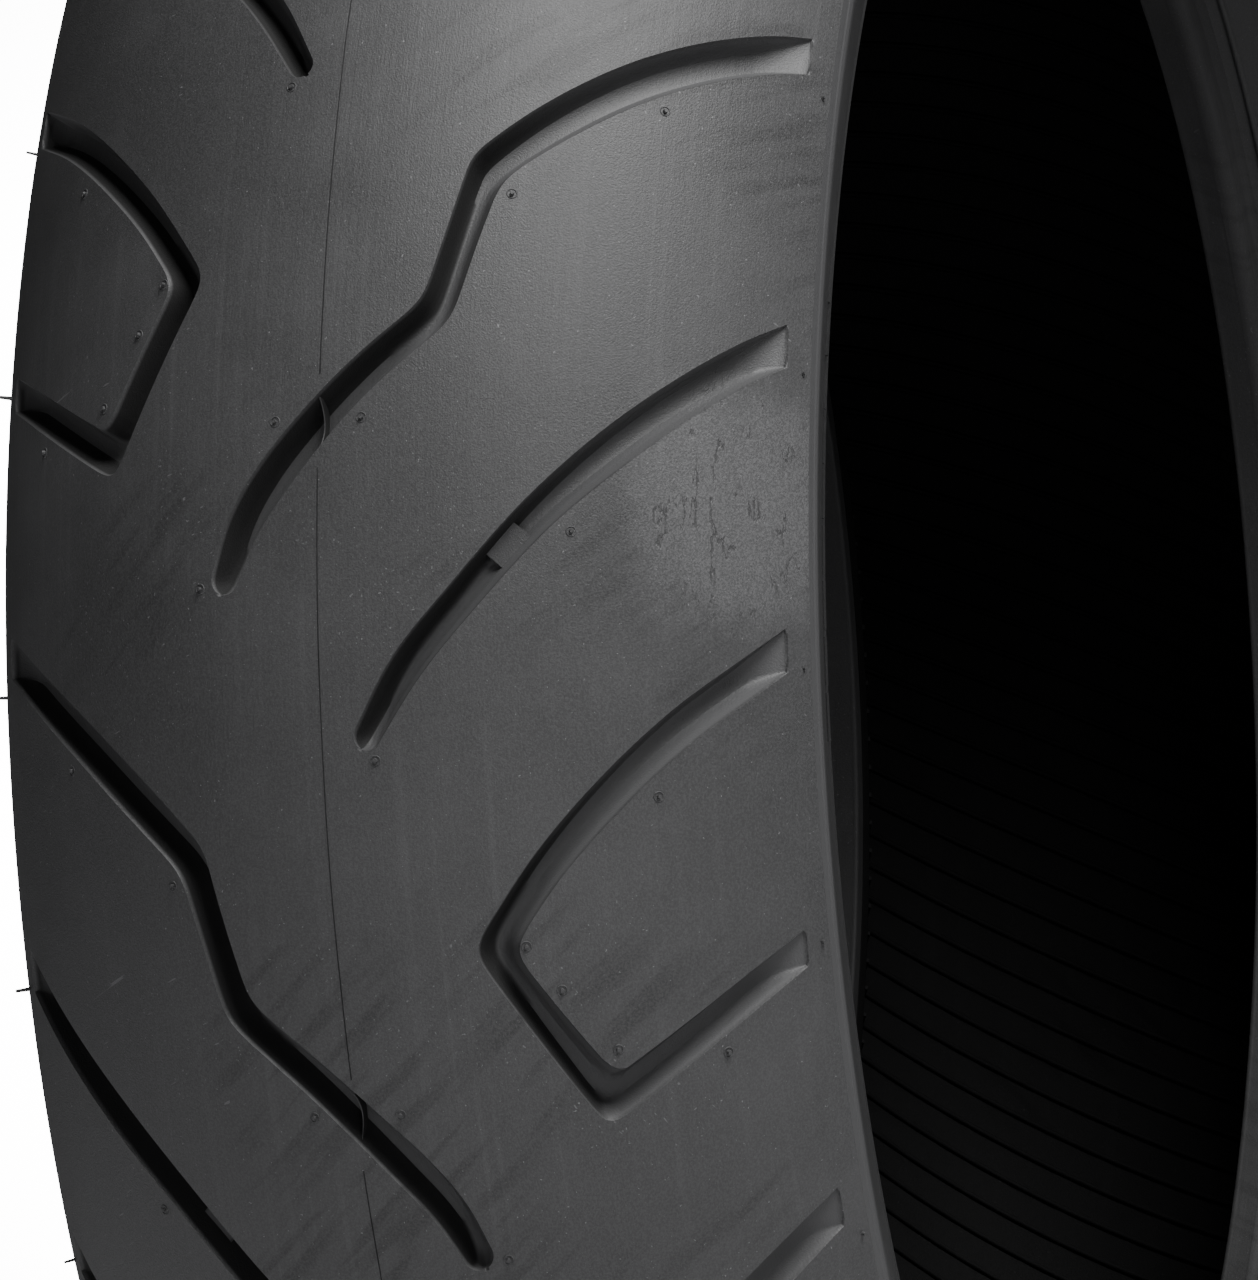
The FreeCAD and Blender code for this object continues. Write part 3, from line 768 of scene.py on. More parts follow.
def make_scuff():
    """One dusty rubbed patch at a turn and a distance across, with torn lines in it."""
    tree, given, result = shader_group(
        "Scuffed patch", {"Turn": 0.0, "Across": 0.08, "Length": 0.030, "Width": 0.026}, ["Haze", "Torn"])
    place, _, turn, parts, _ = wheel_place(tree)
    rough = noise_node(tree, place, 75, 9.0, 0.78)
    apart = math_node(tree, "SUBTRACT", (turn, 0), (given, "Turn"))
    along = math_node(tree, "MULTIPLY", (apart, 0), PATCH_RADIUS)
    aside = math_node(tree, "SUBTRACT", (parts, "Y"), (given, "Across"))
    one = math_node(tree, "DIVIDE", (along, 0), (given, "Length"))
    two = math_node(tree, "DIVIDE", (aside, 0), (given, "Width"))
    square = math_node(tree, "MULTIPLY", (one, 0), (one, 0))
    total = math_node(tree, "MULTIPLY_ADD", (two, 0), (two, 0), (square, 0))
    worn = math_node(tree, "MULTIPLY_ADD", (rough, "Fac"), 1.8, (total, 0))
    haze = ramp_node(tree, (worn, 0), 2.1, 0.95)
    cracks = noise_node(tree, place, 1.0, 5.0, 0.62, (150, 190, 48))
    lines = math_node(tree, "SUBTRACT", (cracks, "Fac"), 0.5)
    torn = ramp_node(tree, (math_node(tree, "ABSOLUTE", (lines, 0)), 0), 0.024, 0.008)
    here = noise_mask(tree, 0.50, 0.58, place, 130, 2.0)
    broken = math_node(tree, "MULTIPLY", (torn, 0), (here, 0))
    kept = math_node(tree, "MULTIPLY", (broken, 0), (haze, 0))
    wire(tree, (haze, 0, result, "Haze"), (kept, 0, result, "Torn"))
    return tree


SCUFF = make_scuff()
print("shader groups:", [g.name for g in bpy.data.node_groups if g.type == "SHADER"])

# %% [markdown]
# Tread rubber, sidewall rubber and liner are the same recipe with other numbers: how dark, how dull, how
# rough the grain, and how much handling shows. So one function makes all of them from the groups. Rubber
# is a dielectric, so it stays non-metallic and its brightness at a glancing view comes from the shader.

# %% Helpers for materials
def principled(name):
    """A new material, its tree and its Principled shader."""
    material = bpy.data.materials.new(name)
    material.use_nodes = True
    tree = material.node_tree
    return material, tree, tree.nodes["Principled BSDF"]


def placed(tree, group, **values):
    """A node group in a material, with its inputs set."""
    return node(tree, "ShaderNodeGroup", node_tree=group, **values)


def add_relief(tree, shader, height, strength, distance):
    """Bends the shader's normal by a height."""
    bend = node(tree, "ShaderNodeBump", Strength=strength, Distance=distance)
    wire(tree, (height, 0, bend, "Height"), (bend, 0, shader, "Normal"))


def mix_colour(tree, mask, dark, light):
    """Colour from dark to light by a mask. Either colour may be an output."""
    made = node(tree, "ShaderNodeMix", data_type="RGBA")
    tree.links.new(mask[0].outputs[mask[1]], made.inputs["Factor"])
    for label, value in ((6, dark), (7, light)):
        if isinstance(value, tuple):
            tree.links.new(value[0].outputs[value[1]], made.inputs[label])
        else:
            made.inputs[label].default_value = (value, value, value * 1.02, 1)
    return made

# %% [markdown]
# The recipe starts with a mix of two greys and lays one mask after another over it. Heights add up in the
# same way and reach the shader through one bump.

# %% The rubber recipe
def rubber(name, dark, light, dull, grain=1.0, handled=0.6, scratched=0.5, turned=0.0, gloss=0.4, bump=0.45,
           scuffs=(), painted_light_from=0.0, painted_groove_shade=False):
    """Rubber between two greys. Each layer over them is a mask and the grey that it brings."""
    material, tree, shader = principled(name)
    skin = placed(tree, GRAIN, Strength=grain)
    touch = placed(tree, SMUDGES, Amount=handled, Seed=len(name) * 0.37)
    marks = placed(tree, SCRATCHES, Amount=scratched)
    wiped = math_node(tree, "MULTIPLY", (touch, "Wipe"), 0.95 * handled)
    fleck = math_node(tree, "MULTIPLY", (skin, "Tone"), 0.30 * min(grain, 1))
    speck = math_node(tree, "MULTIPLY", (skin, "Speckle"), 0.7 * min(grain, 1))
    layers = [((touch, "Streak"), light * 1.25), ((wiped, 0), dark * 0.45), ((marks, "Scratch"), light * 3.2),
              ((fleck, 0), light * 2.0), ((speck, 0), light * 4.0)]
    rough = math_node(tree, "MULTIPLY_ADD", (touch, "Smudge"), 0.10, dull)
    rough = math_node(tree, "MULTIPLY_ADD", (skin, "Speckle"), -0.08, (rough, 0))
    height = math_node(tree, "MULTIPLY_ADD", (marks, "Scratch"), -0.5, (skin, "Height"))
    for turn, across, length, width in scuffs:
        patch = placed(tree, SCUFF, Turn=turn, Across=across, Length=length, Width=width)
        mottled = ramp_node(tree, (skin, "Tone"), 0.0, 1.0, 0.18, 0.42)
        dusty = math_node(tree, "MULTIPLY", (patch, "Haze"), (mottled, 0))
        torn = math_node(tree, "MULTIPLY", (patch, "Torn"), 0.6)
        layers += [((dusty, 0), light * 3.2), ((torn, 0), dark * 0.4)]
        height = math_node(tree, "MULTIPLY_ADD", (patch, "Torn"), -1.6, (height, 0))
    # Painted light: from this radius outwards the sidewall is painted lighter, next to the tread.
    if painted_light_from:
        painted_light_band = ramp_node(tree, (wheel_place(tree)[4], 0), painted_light_from, painted_light_from + 0.004)
        layers.append(((painted_light_band, 0), light * 2.6))
    if painted_groove_shade:
        # Painted shade and light in the grooves: near black on walls facing +Y, lighter on walls facing -Y,
        # one grey below the tread.
        walls = placed(tree, GROOVE_SHADING)
        layers += [((walls, "Below"), dark * 1.6), ((walls, "Left facing"), light * 1.4),
                   ((walls, "Right facing"), dark * 0.02)]
        rough = math_node(tree, "MULTIPLY_ADD", (walls, "Right facing"), 0.30, (rough, 0))
    if turned:
        rings = placed(tree, TURNED, Strength=turned)
        height = math_node(tree, "ADD", (height, 0), (rings, "Height"))
    colour = mix_colour(tree, (touch, "Smudge"), dark, light)
    for mask, grey in layers:
        colour = mix_colour(tree, mask, (colour, 2), grey)
    wire(tree, (colour, 2, shader, "Base Color"), (rough, 0, shader, "Roughness"))
    add_relief(tree, shader, height, bump, 0.00025)
    shader.inputs["Specular IOR Level"].default_value = gloss
    return material

# %% [markdown]
# The tread is the greyest, since dust and handling reach it first. The sidewalls and beads are darker, and
# the liner is painted almost black as painted shade for the hollow, where little light reaches.

# %% The rubbers of this tire
# Each rubbed patch is its turn, its distance across, its length and its width, in radians and metres.
RUBBED = [(0.0, 0.077, 0.030, 0.020), (2.3, 0.060, 0.024, 0.018), (-1.7, -0.072, 0.034, 0.020)]
TREAD_RUBBER = rubber("tread_rubber", 0.022, 0.036, 0.52, grain=1.0, handled=0.7, scratched=0.7, turned=0.5,
                      scuffs=RUBBED, painted_groove_shade=True)
# The sidewall's band beyond 258.5 mm from the axle is painted lighter: painted light for the brightness of
# the shoulder beside the tread.
SIDE_RUBBER = rubber("sidewall_rubber", 0.012, 0.020, 0.60, grain=0.6, handled=0.5, turned=0.7, gloss=0.22,
                     painted_light_from=0.2585)
BEAD_RUBBER = rubber("bead_rubber", 0.010, 0.018, 0.62, grain=0.5, handled=0.4, gloss=0.15)
SEAM_RUBBER = rubber("seam_rubber", 0.008, 0.016, 0.6, grain=0.5, scratched=0.0, gloss=0.1)
# Painted shade: the liner's near black stands in for the shade inside the hollow.
SHADE_DARK_LINER = rubber("liner_rubber", 0.0016, 0.0035, 0.75, grain=1.4, handled=0.6, scratched=0.1, gloss=0.06)
INNER_RUBBER = rubber("inner_rubber", 0.030, 0.042, 0.7, grain=1.2, handled=0.3, scratched=0.0)
print("rubbers:", [m.name for m in bpy.data.materials if "rubber" in m.name])

# %% [markdown]
# Now the tread itself. After the copies are joined, the ring is still an open sheet, so its two edges are
# joined underneath by a plain band at the depth of the belt. The rubber between the grooves gets exact
# torus normals, because the flat triangles alone would show faint facets in a long soft reflection. Edges
# between rubber and groove stay sharp.

# %% The tread ring
UNDER_ANGLES = (57, 28, 0, -28, -57)    # where the band under the tread has its rows, in degrees
END_STRIPS = 0.08                       # past this distance across the band's faces look sideways
CREASE = math.radians(29)               # edges bent further than this stay sharp


def rim_rows(bm):
    """The ring's two open edges as rows of points, in order round the wheel, with new rows between them."""
    steps = EDGE_STEPS * REPEATS
    first = BORDER[0][1]
    rim = {True: {}, False: {}}
    for v in bm.verts:
        if v.is_boundary:
            turn = math.degrees(math.atan2(-v.co.z, v.co.x)) % 360
            rim[v.co.y > 0][round((turn - first) * EDGE_STEPS / PITCH) % steps] = v
    rows = [[rim[True][k] for k in range(steps)]]
    turns = first + np.arange(steps) * PITCH / EDGE_STEPS
    for angle in UNDER_ANGLES:
        across = np.full(steps, CROWN_RADIUS * math.radians(angle))
        places, _ = on_tread(across, turns, np.full(steps, BELT_TOP - CROWN_RADIUS))
        rows.append([bm.verts.new(p) for p in places])
    return rows + [[rim[False][k] for k in range(steps)]]


def close_underneath(obj):
    """Joins the ring's two edges by a band at the belt's depth."""
    bm = bmesh.new()
    bm.from_mesh(obj.data)
    kind = bm.faces.layers.int["kind"]
    rows = rim_rows(bm)
    print("edge points:", [len(row) for row in rows])
    for near, far in zip(rows, rows[1:]):
        for i in range(len(near)):
            j = (i + 1) % len(near)
            f = bm.faces.new((near[i], near[j], far[j], far[i]))
            f[kind] = UNDER
            f.normal_update()
            c = f.calc_center_median()
            outward = f.normal.dot(hub_of(c) - c) if abs(c.y) < END_STRIPS else f.normal.y * c.y
            if outward < 0:
                f.normal_flip()
    for e in bm.edges:
        if len(e.link_faces) == 2:
            a, b = e.link_faces
            e.smooth = a[kind] == b[kind] and e.calc_face_angle(0) < CREASE
    for f in bm.faces:
        f.smooth = True
    bm.to_mesh(obj.data)
    bm.free()

# %% [markdown]
# Flat triangles shade a little differently from a true torus. Custom normals repair that: every corner of
# plain rubber gets the direction away from the hub circle, and the others keep what Blender works out,
# which a zero vector stands for.

# %% Exact normals for the plain rubber
def exact_normals(obj):
    """Gives the plain rubber the torus's own normals."""
    mesh = obj.data
    kind = np.zeros(len(mesh.polygons), int)
    mesh.attributes["kind"].data.foreach_get("value", kind)
    place = np.zeros(len(mesh.vertices) * 3)
    mesh.vertices.foreach_get("co", place)
    place = place.reshape(-1, 3)
    corner = np.zeros(len(mesh.loops), int)
    mesh.loops.foreach_get("vertex_index", corner)
    of_face = np.repeat(kind, [len(p.vertices) for p in mesh.polygons])
    p = place[corner]
    hub = p * [1, 0, 1]
    hub *= CROWN_CENTRE * MM / np.linalg.norm(hub, axis=1)[:, None]
    out = (p - hub) / np.linalg.norm(p - hub, axis=1)[:, None]
    out[of_face != LAND] = 0
    mesh.normals_split_custom_set(out.tolist())


tread = grown("tread", tile, [(REPEAT, {"Count": REPEATS, "Merge": 2e-6})], TREAD_RUBBER)
close_underneath(tread)
exact_normals(tread)
print("tread is", round(tread.dimensions.x * 1000, 1), "by", round(tread.dimensions.y * 1000, 1), "mm")

# %% [markdown]
# A mould traps air, so it has pin holes, and each one leaves a small rubber stub that is cut short. They
# all have one shape, so one short lathe form is placed on points, each turned to the tread's outward
# direction, which is stored on the points. At the shoulder the cutter misses a few, and they stay as
# longer hairs.

# %% Vent stubs on points
def stored(tree, name):
    """A vector that is stored on the points."""
    return node(tree, "GeometryNodeInputNamedAttribute", data_type="FLOAT_VECTOR", Name=name)


def on_points(tree, given, shape, lengthwise=False):
    """Copies of a shape on the given points. Z points out, and X along if the shape lies lengthwise."""
    turn = node(tree, "FunctionNodeAlignRotationToVector", axis="Z")
    wire(tree, (stored(tree, "out"), 0, turn, "Vector"))
    if lengthwise:
        aimed = turn
        turn = node(tree, "FunctionNodeAlignRotationToVector", axis="X", pivot_axis="Z")
        wire(tree, (aimed, 0, turn, "Rotation"), (stored(tree, "along"), 0, turn, "Vector"))
    copies = node(tree, "GeometryNodeInstanceOnPoints")
    wire(tree, (given, "Geometry", copies, "Points"), (shape, 0, copies, "Instance"),
         (turn, 0, copies, "Rotation"))
    return copies


def stub_tree():
    """A short cone on each point, in the size that is stored there."""
    tree, given = tree_with("Vent stub on each point", Radius=0.0005, Height=0.0008)
    cone = node(tree, "GeometryNodeMeshCone", Vertices=10)
    top = math_node(tree, "MULTIPLY", (given, "Radius"), 0.72)
    sunk = node(tree, "GeometryNodeTransform", Translation=(0, 0, -0.00015))
    wire(tree, (given, "Radius", cone, "Radius Bottom"), (top, 0, cone, "Radius Top"),
         (given, "Height", cone, "Depth"), (cone, 0, sunk, 0))
    copies = on_points(tree, given, sunk)
    wire(tree, (stored(tree, "size"), 0, copies, "Scale"))
    return end_tree(tree, given, copies)


STUBS = stub_tree()
TREAD_STUBS = [(37.7, -11.5), (67.8, -15.9), (-9.5, -2.8), (9.1, -2.8), (-27.0, 3.2), (52.0, 1.5),
               (11.0, 9.8), (38.8, 17.0), (45.1, 18.8), (55.2, 21.4), (68.4, 11.8), (78.5, 22.4)]
SHOULDER_STUBS = [(104.0, -19.1), (104.0, -6.05), (104.0, 6.9), (104.0, 18.8)]


def half_turn(side):
    """The left half of the pattern is turned by half a repeat."""
    return 0 if side > 0 else PITCH / 2


def vector_points(name, places, **vectors):
    """A mesh of loose points with vectors stored on them."""
    mesh = bpy.data.meshes.new(name)
    mesh.from_pydata(np.array(places).tolist(), [], [])
    for label, values in vectors.items():
        mesh.attributes.new(label, "FLOAT_VECTOR", "POINT").data.foreach_set("vector", np.ravel(values))
    return mesh


def point_mesh(name, stations, sizes, side=1):
    """Points on the tread with their outward direction and a size stored on each."""
    across, turns = np.array(stations).T
    places, out = on_tread(across * side, turns + half_turn(side))
    return vector_points(name, places, out=out, size=sizes)


def stub_sizes(count, wide, tall):
    """A little different on each, by a fixed rule."""
    wide = wide + 0.12 * np.sin(np.arange(count) * 2.4)
    return np.column_stack([wide, wide, tall + 0.25 * np.cos(np.arange(count) * 1.7)])


def stubs(name, stations, side, wide, tall, height=0.0008):
    """One side's stubs, all round the wheel."""
    mesh = point_mesh(name, stations, stub_sizes(len(stations), wide, tall), side)
    return grown(name, mesh, [(STUBS, {"Height": height}), (REPEAT, {"Count": REPEATS})], TREAD_RUBBER)


stub_pieces = [stubs("vent_stubs_right", TREAD_STUBS, 1, 1.0, 1.0),
               stubs("vent_stubs_left", TREAD_STUBS, -1, 1.0, 1.0),
               stubs("shoulder_stubs_right", SHOULDER_STUBS, 1, 0.9, 1.1),
               stubs("shoulder_hairs_left", SHOULDER_STUBS, -1, 0.85, 1.0, 0.0034)]


print("stub pieces:", [o.name for o in stub_pieces])

# %% [markdown]
# Round a stub the mould has a flat plug, which leaves a shallow ring. A small circle swept along a larger
# one makes the ring. It stands a seventh of a millimetre above the rubber, and the same helpers place it.

# %% Plug rings
def ring_tree():
    """A thin ring on each point."""
    tree, given = tree_with("Plug ring on each point", Radius=0.0010, Bead=0.00014)
    path = node(tree, "GeometryNodeCurvePrimitiveCircle", mode="RADIUS", Resolution=20)
    bead = node(tree, "GeometryNodeCurvePrimitiveCircle", mode="RADIUS", Resolution=5)
    tube = node(tree, "GeometryNodeCurveToMesh")
    wire(tree, (given, "Radius", path, "Radius"), (given, "Bead", bead, "Radius"), (path, 0, tube, 0),
         (bead, 0, tube, 1))
    return end_tree(tree, given, on_points(tree, given, tube), node(tree, "GeometryNodeSetShadeSmooth"))


RINGS = ring_tree()
for side, name in ((1, "plug_rings_right"), (-1, "plug_rings_left")):
    mesh = point_mesh(name, TREAD_STUBS, np.ones((len(TREAD_STUBS), 3)), side)
    stub_pieces.append(grown(name, mesh, [(RINGS, {}), (REPEAT, {"Count": REPEATS})], TREAD_RUBBER))


print("stub and ring pieces:", len(stub_pieces))

# %% [markdown]
# A wear bar is a low block on the floor of a groove. When the tread is worn down to it, the tire is done.
# A cube with a slight taper and bevelled edges is set along the swept groove's floor, once in each repeat.

# %% Wear bars
BAR_AT, BAR_TOWARDS = (39.4, 1.93), (34.0, 3.03)     # its middle, and a place further along the groove
BAR_FLOOR = -6.05                                    # the groove's floor there, in millimetres
BAR_LENGTH, BAR_WIDTH, BAR_TOP, BAR_FOOT = 8.7, 4.7, 1.7, -0.4


def wear_bar_mesh(side):
    """A low block with soft edges on the floor of the swept groove."""
    across, turns = np.array([BAR_AT, BAR_TOWARDS]).T
    places, outs = on_tread(across * side, turns + half_turn(side), np.full(2, BAR_FLOOR))
    place, tip = Vector(places[0]), Vector(places[1])
    z = Vector(outs[0])
    x = (tip - place).normalized()
    y = z.cross(x)
    bm = bmesh.new()
    bmesh.ops.create_cube(bm, size=1)
    for v in bm.verts:
        taper = 0.93 if v.co.z > 0 else 1.0
        height = BAR_TOP if v.co.z > 0 else BAR_FOOT
        v.co = place + (x * v.co.x * BAR_LENGTH * taper + y * v.co.y * BAR_WIDTH * taper + z * height) * MM
    bmesh.ops.bevel(bm, geom=bm.edges[:], offset=0.00022, segments=2, affect="EDGES", profile=0.5)
    bmesh.ops.recalc_face_normals(bm, faces=bm.faces)
    mesh = bpy.data.meshes.new("wear_bar")
    bm.to_mesh(mesh)
    bm.free()
    return mesh


wear_bars = [grown(name, wear_bar_mesh(side), [(REPEAT, {"Count": REPEATS})], TREAD_RUBBER)
             for side, name in ((1, "wear_bars_right"), (-1, "wear_bars_left"))]
print("tread trimmings:", len(stub_pieces) + len(wear_bars))

# %% [markdown]
# The two halves of the mould meet on the middle line and leave a hair-thin fin of rubber. It follows a
# circle and wanders a little from side to side, so it is a curve whose points are moved by noise before a
# small profile is swept along it. Where a groove crosses, the fin is cut away.

# %% The mould's parting line
def parting_tree():
    """A thin tube on a circle about the axle that wanders from side to side."""
    tree, given = tree_with("Parting line", Radius=OUTER_RADIUS * MM, Wander=0.0005, Thickness=0.00011,
                            Steps=720, Seed=3.0)
    circle = node(tree, "GeometryNodeCurvePrimitiveCircle", mode="RADIUS")
    upright = node(tree, "GeometryNodeTransform", Rotation=(math.pi / 2, 0, 0))
    place = node(tree, "GeometryNodeInputPosition")
    noise = node(tree, "ShaderNodeTexNoise", noise_dimensions="4D", Scale=14.0)
    centred = math_node(tree, "SUBTRACT", (noise, "Fac"), 0.5)
    shift = math_node(tree, "MULTIPLY", (centred, 0), (given, "Wander"))
    offset = node(tree, "ShaderNodeCombineXYZ")
    move = node(tree, "GeometryNodeSetPosition")
    profile = node(tree, "GeometryNodeCurvePrimitiveCircle", mode="RADIUS", Resolution=6)
    tube = node(tree, "GeometryNodeCurveToMesh")
    wire(tree, (given, "Steps", circle, "Resolution"), (given, "Radius", circle, "Radius"),
         (circle, 0, upright, 0), (place, 0, noise, "Vector"), (given, "Seed", noise, "W"),
         (shift, 0, offset, "Y"), (upright, 0, move, "Geometry"), (offset, 0, move, "Offset"),
         (given, "Thickness", profile, "Radius"), (move, 0, tube, 0), (profile, 0, tube, 1))
    return end_tree(tree, given, tube, node(tree, "GeometryNodeSetShadeSmooth"))


def off_grooves(obj):
    """Removes the fin where a groove crosses the middle line."""
    bm = bmesh.new()
    bm.from_mesh(obj.data)
    spans = [(g[:, :, 1][abs(g[:, :, 0]) < 3.0]) for g in grids]
    spans = [(s.min() % PITCH, np.ptp(s)) for s in spans if len(s)]
    gone = []
    for v in bm.verts:
        turn = math.degrees(math.atan2(-v.co.z, v.co.x)) % PITCH
        if any((turn - low) % PITCH < wide for low, wide in spans):
            gone.append(v)
    bmesh.ops.delete(bm, geom=gone, context="VERTS")
    bmesh.ops.holes_fill(bm, edges=[e for e in bm.edges if e.is_boundary], sides=8)
    bm.to_mesh(obj.data)
    bm.free()


parting_line = grown("parting_line", bpy.data.meshes.new("parting_line"), [(parting_tree(), {})], SEAM_RUBBER)
off_grooves(parting_line)
print("the parting line keeps", len(parting_line.data.vertices), "points")

# %% [markdown]
# Where the mould's halves meet inside a groove, rubber is pressed into the joint and leaves a thin web
# across it. The web is a plain closed strip, and the repeating tree sets one in each repeat.

# %% Webs across the grooves
WEB_HALF = 0.13        # half a web's thickness, in millimetres


def outwards(mesh, sharp=None):
    """Turns a closed mesh's faces outwards. With an angle, it is smooth but for edges bent further."""
    bm = bmesh.new()
    bm.from_mesh(mesh)
    bmesh.ops.recalc_face_normals(bm, faces=bm.faces)
    if sharp:
        for f in bm.faces:
            f.smooth = True
        for e in bm.edges:
            e.smooth = e.calc_face_angle(0) < math.radians(sharp)
    bm.to_mesh(mesh)
    bm.free()


def web_mesh(start, span):
    """A thin upright web across a groove in the middle plane, hollowed towards the groove's middle."""
    n = 15
    share = np.linspace(0, 1, n)
    hollow = -0.35 - 3.6 * np.sin(np.pi * share) ** 0.8
    verts, faces = [], [(0, 2 * n, 3 * n, n), (n - 1, 2 * n - 1, 4 * n - 1, 3 * n - 1)]
    for across in (-WEB_HALF, WEB_HALF):
        for lift in (hollow, np.full(n, -GROOVE_DEPTH - 0.1)):
            verts += on_tread(np.full(n, across), start + span * share, lift)[0].tolist()
    for k in range(n - 1):
        ring = [(0, n), (n, 3 * n), (3 * n, 2 * n), (2 * n, 0)]
        faces += [(a + k, a + k + 1, b + k + 1, b + k) for a, b in ring]
    mesh = bpy.data.meshes.new("seam_web")
    mesh.from_pydata(verts, [], faces)
    outwards(mesh)
    return mesh


crossings = [(g[:, :, 1][abs(g[:, :, 0]) < 1.5]) for g in grids]
webs = [grown("parting_web_" + str(n), web_mesh(c.min() + 0.25, np.ptp(c) - 0.5),
              [(REPEAT, {"Count": REPEATS})], TREAD_RUBBER)
        for n, c in enumerate(c for c in crossings if len(c))]
print("webs across grooves:", len(webs), "per repeat")

# %% [markdown]
# The sidewalls, beads and liner are rings with one cross-section each. A list of points in the (across,
# radius) plane is turned round the axle in mesh code. Small ribs come from adding a height to the profile
# before turning it. Every ring is a closed loop, so it has a real thickness and no open seams.

# %% Rings with one cross-section
def arc_points(a, b, c, count):
    """Points on the circle through three points, from the first to the last."""
    (ax, ay), (bx, by), (cx, cy) = a, b, c
    d = 2 * (ax * (by - cy) + bx * (cy - ay) + cx * (ay - by))
    ux = ((ax**2 + ay**2) * (by - cy) + (bx**2 + by**2) * (cy - ay) + (cx**2 + cy**2) * (ay - by)) / d
    uy = ((ax**2 + ay**2) * (cx - bx) + (bx**2 + by**2) * (ax - cx) + (cx**2 + cy**2) * (bx - ax)) / d
    r = math.hypot(ax - ux, ay - uy)
    a0, a1, a2 = (math.atan2(y - uy, x - ux) for x, y in (a, b, c))
    turn = (a2 - a0) % (2 * math.pi)
    if (a1 - a0) % (2 * math.pi) > turn:
        turn -= 2 * math.pi
    angles = a0 + turn * np.linspace(0, 1, count)
    return [(ux + r * math.cos(a), uy + r * math.sin(a)) for a in angles]


def lathe(name, loop, side, material, steps=384, sharp=35):
    """A closed loop of (across, radius) in millimetres turned round the axle."""
    y, r = np.array(loop).T * MM
    turns = np.arange(steps) * 2 * math.pi / steps
    across = np.broadcast_to(y * side, (steps, len(y)))
    verts = np.stack([np.outer(np.cos(turns), r), across, -np.outer(np.sin(turns), r)], -1)
    a = np.arange(steps * len(y)).reshape(steps, len(y))
    b = np.roll(a, -1, 0)
    quads = np.stack([a, b, np.roll(b, -1, 1), np.roll(a, -1, 1)], -1).reshape(-1, 4)
    mesh = bpy.data.meshes.new(name)
    mesh.from_pydata(verts.reshape(-1, 3).tolist(), [], quads.tolist())
    outwards(mesh, sharp)
    mesh.materials.append(material)
    obj = bpy.data.objects.new(name, mesh)
    bpy.context.collection.objects.link(obj)
    print(name, "has", 2 * len(quads), "triangles")
    return obj


def crown(radius, angle):
    """A point on an arc about the crown's centre, at an angle from the middle in degrees."""
    a = math.radians(angle)
    return (radius * math.sin(a), CROWN_CENTRE + radius * math.cos(a))

# %% [markdown]
# The sidewall runs from the tread's edge in one arc, turns in a tighter one and ends on the slope that
# touches the rim. Fine rings and the rim line are small bumps added to that profile.

# %% The sidewall's profile
SIDE_MID, SIDE_LOW, SIDE_TURN, SIDE_FOOT = (86.7, 254.2), (82.6, 241.0), (79.6, 236.1), (74.6, 232.6)
FLANGE_TOP, HEEL_Y, HEEL_ROUND, SEAT = (65.2, 227.7), 63.2, 4.0, 218.3
RIM_LINE_Y, RIM_LINE_HALF, RIM_LINE_HEIGHT = 68.4, 0.9, 0.8
UPPER_SIDE = arc_points(crown(CROWN_RADIUS, SHOULDER_ANGLE), SIDE_MID, SIDE_LOW, 90)
FINE_RINGS = {14: 0.22, 17: 0.22, 20: 0.22, 74: 0.35, 80: 0.35}     # point of the upper arc: height


def raised(points, centre, half, height):
    """Lifts points of a profile into a small rounded rib round one place along it."""
    points = np.array(points, float)
    step = np.gradient(points, axis=0)
    out = np.column_stack([-step[:, 1], step[:, 0]]) / np.linalg.norm(step, axis=1)[:, None]
    if out[len(out) // 2, 0] < 0:
        out = -out
    far = np.linalg.norm(points - np.array(centre), axis=1) / half
    return points + out * (height * np.clip(1 - far**2, 0, 1) ** 0.5)[:, None]


def side_profile():
    """The outside of the sidewall from the tread's edge to the bead's outer face."""
    upper = UPPER_SIDE
    for at, height in FINE_RINGS.items():
        upper = raised(upper, upper[at], 0.55, height)
    lower = arc_points(SIDE_LOW, SIDE_TURN, SIDE_FOOT, 14)
    t = np.linspace(0, 1, 40)[:, None]
    slope = np.array(FLANGE_TOP) - SIDE_FOOT
    foot = SIDE_FOOT + slope * t
    middle = np.array(SIDE_FOOT) + slope * (RIM_LINE_Y - SIDE_FOOT[0]) / slope[0]
    rib = raised(foot, middle, RIM_LINE_HALF, RIM_LINE_HEIGHT)
    return [tuple(p) for p in upper] + lower[1:-1] + [tuple(p) for p in rib]


profile = side_profile()
print("the sidewall's profile has", len(profile), "points")

# %% [markdown]
# The rings overlap a little inside the tire, where nobody can see it, so that no gap opens between two
# pieces. Only their outsides have to be exact.

# %% Sidewalls and beads
def side_loop():
    """The sidewall's profile closed through the carcass behind it."""
    back = [(66.0, 230.6), (70.4, 236.0), (73.4, 241.5), (79.0, 248.0), (81.0, 255.0), (78.5, 264.5)]
    return profile + back


TOE_Y, TOE_ROUND = 52.4, 0.8


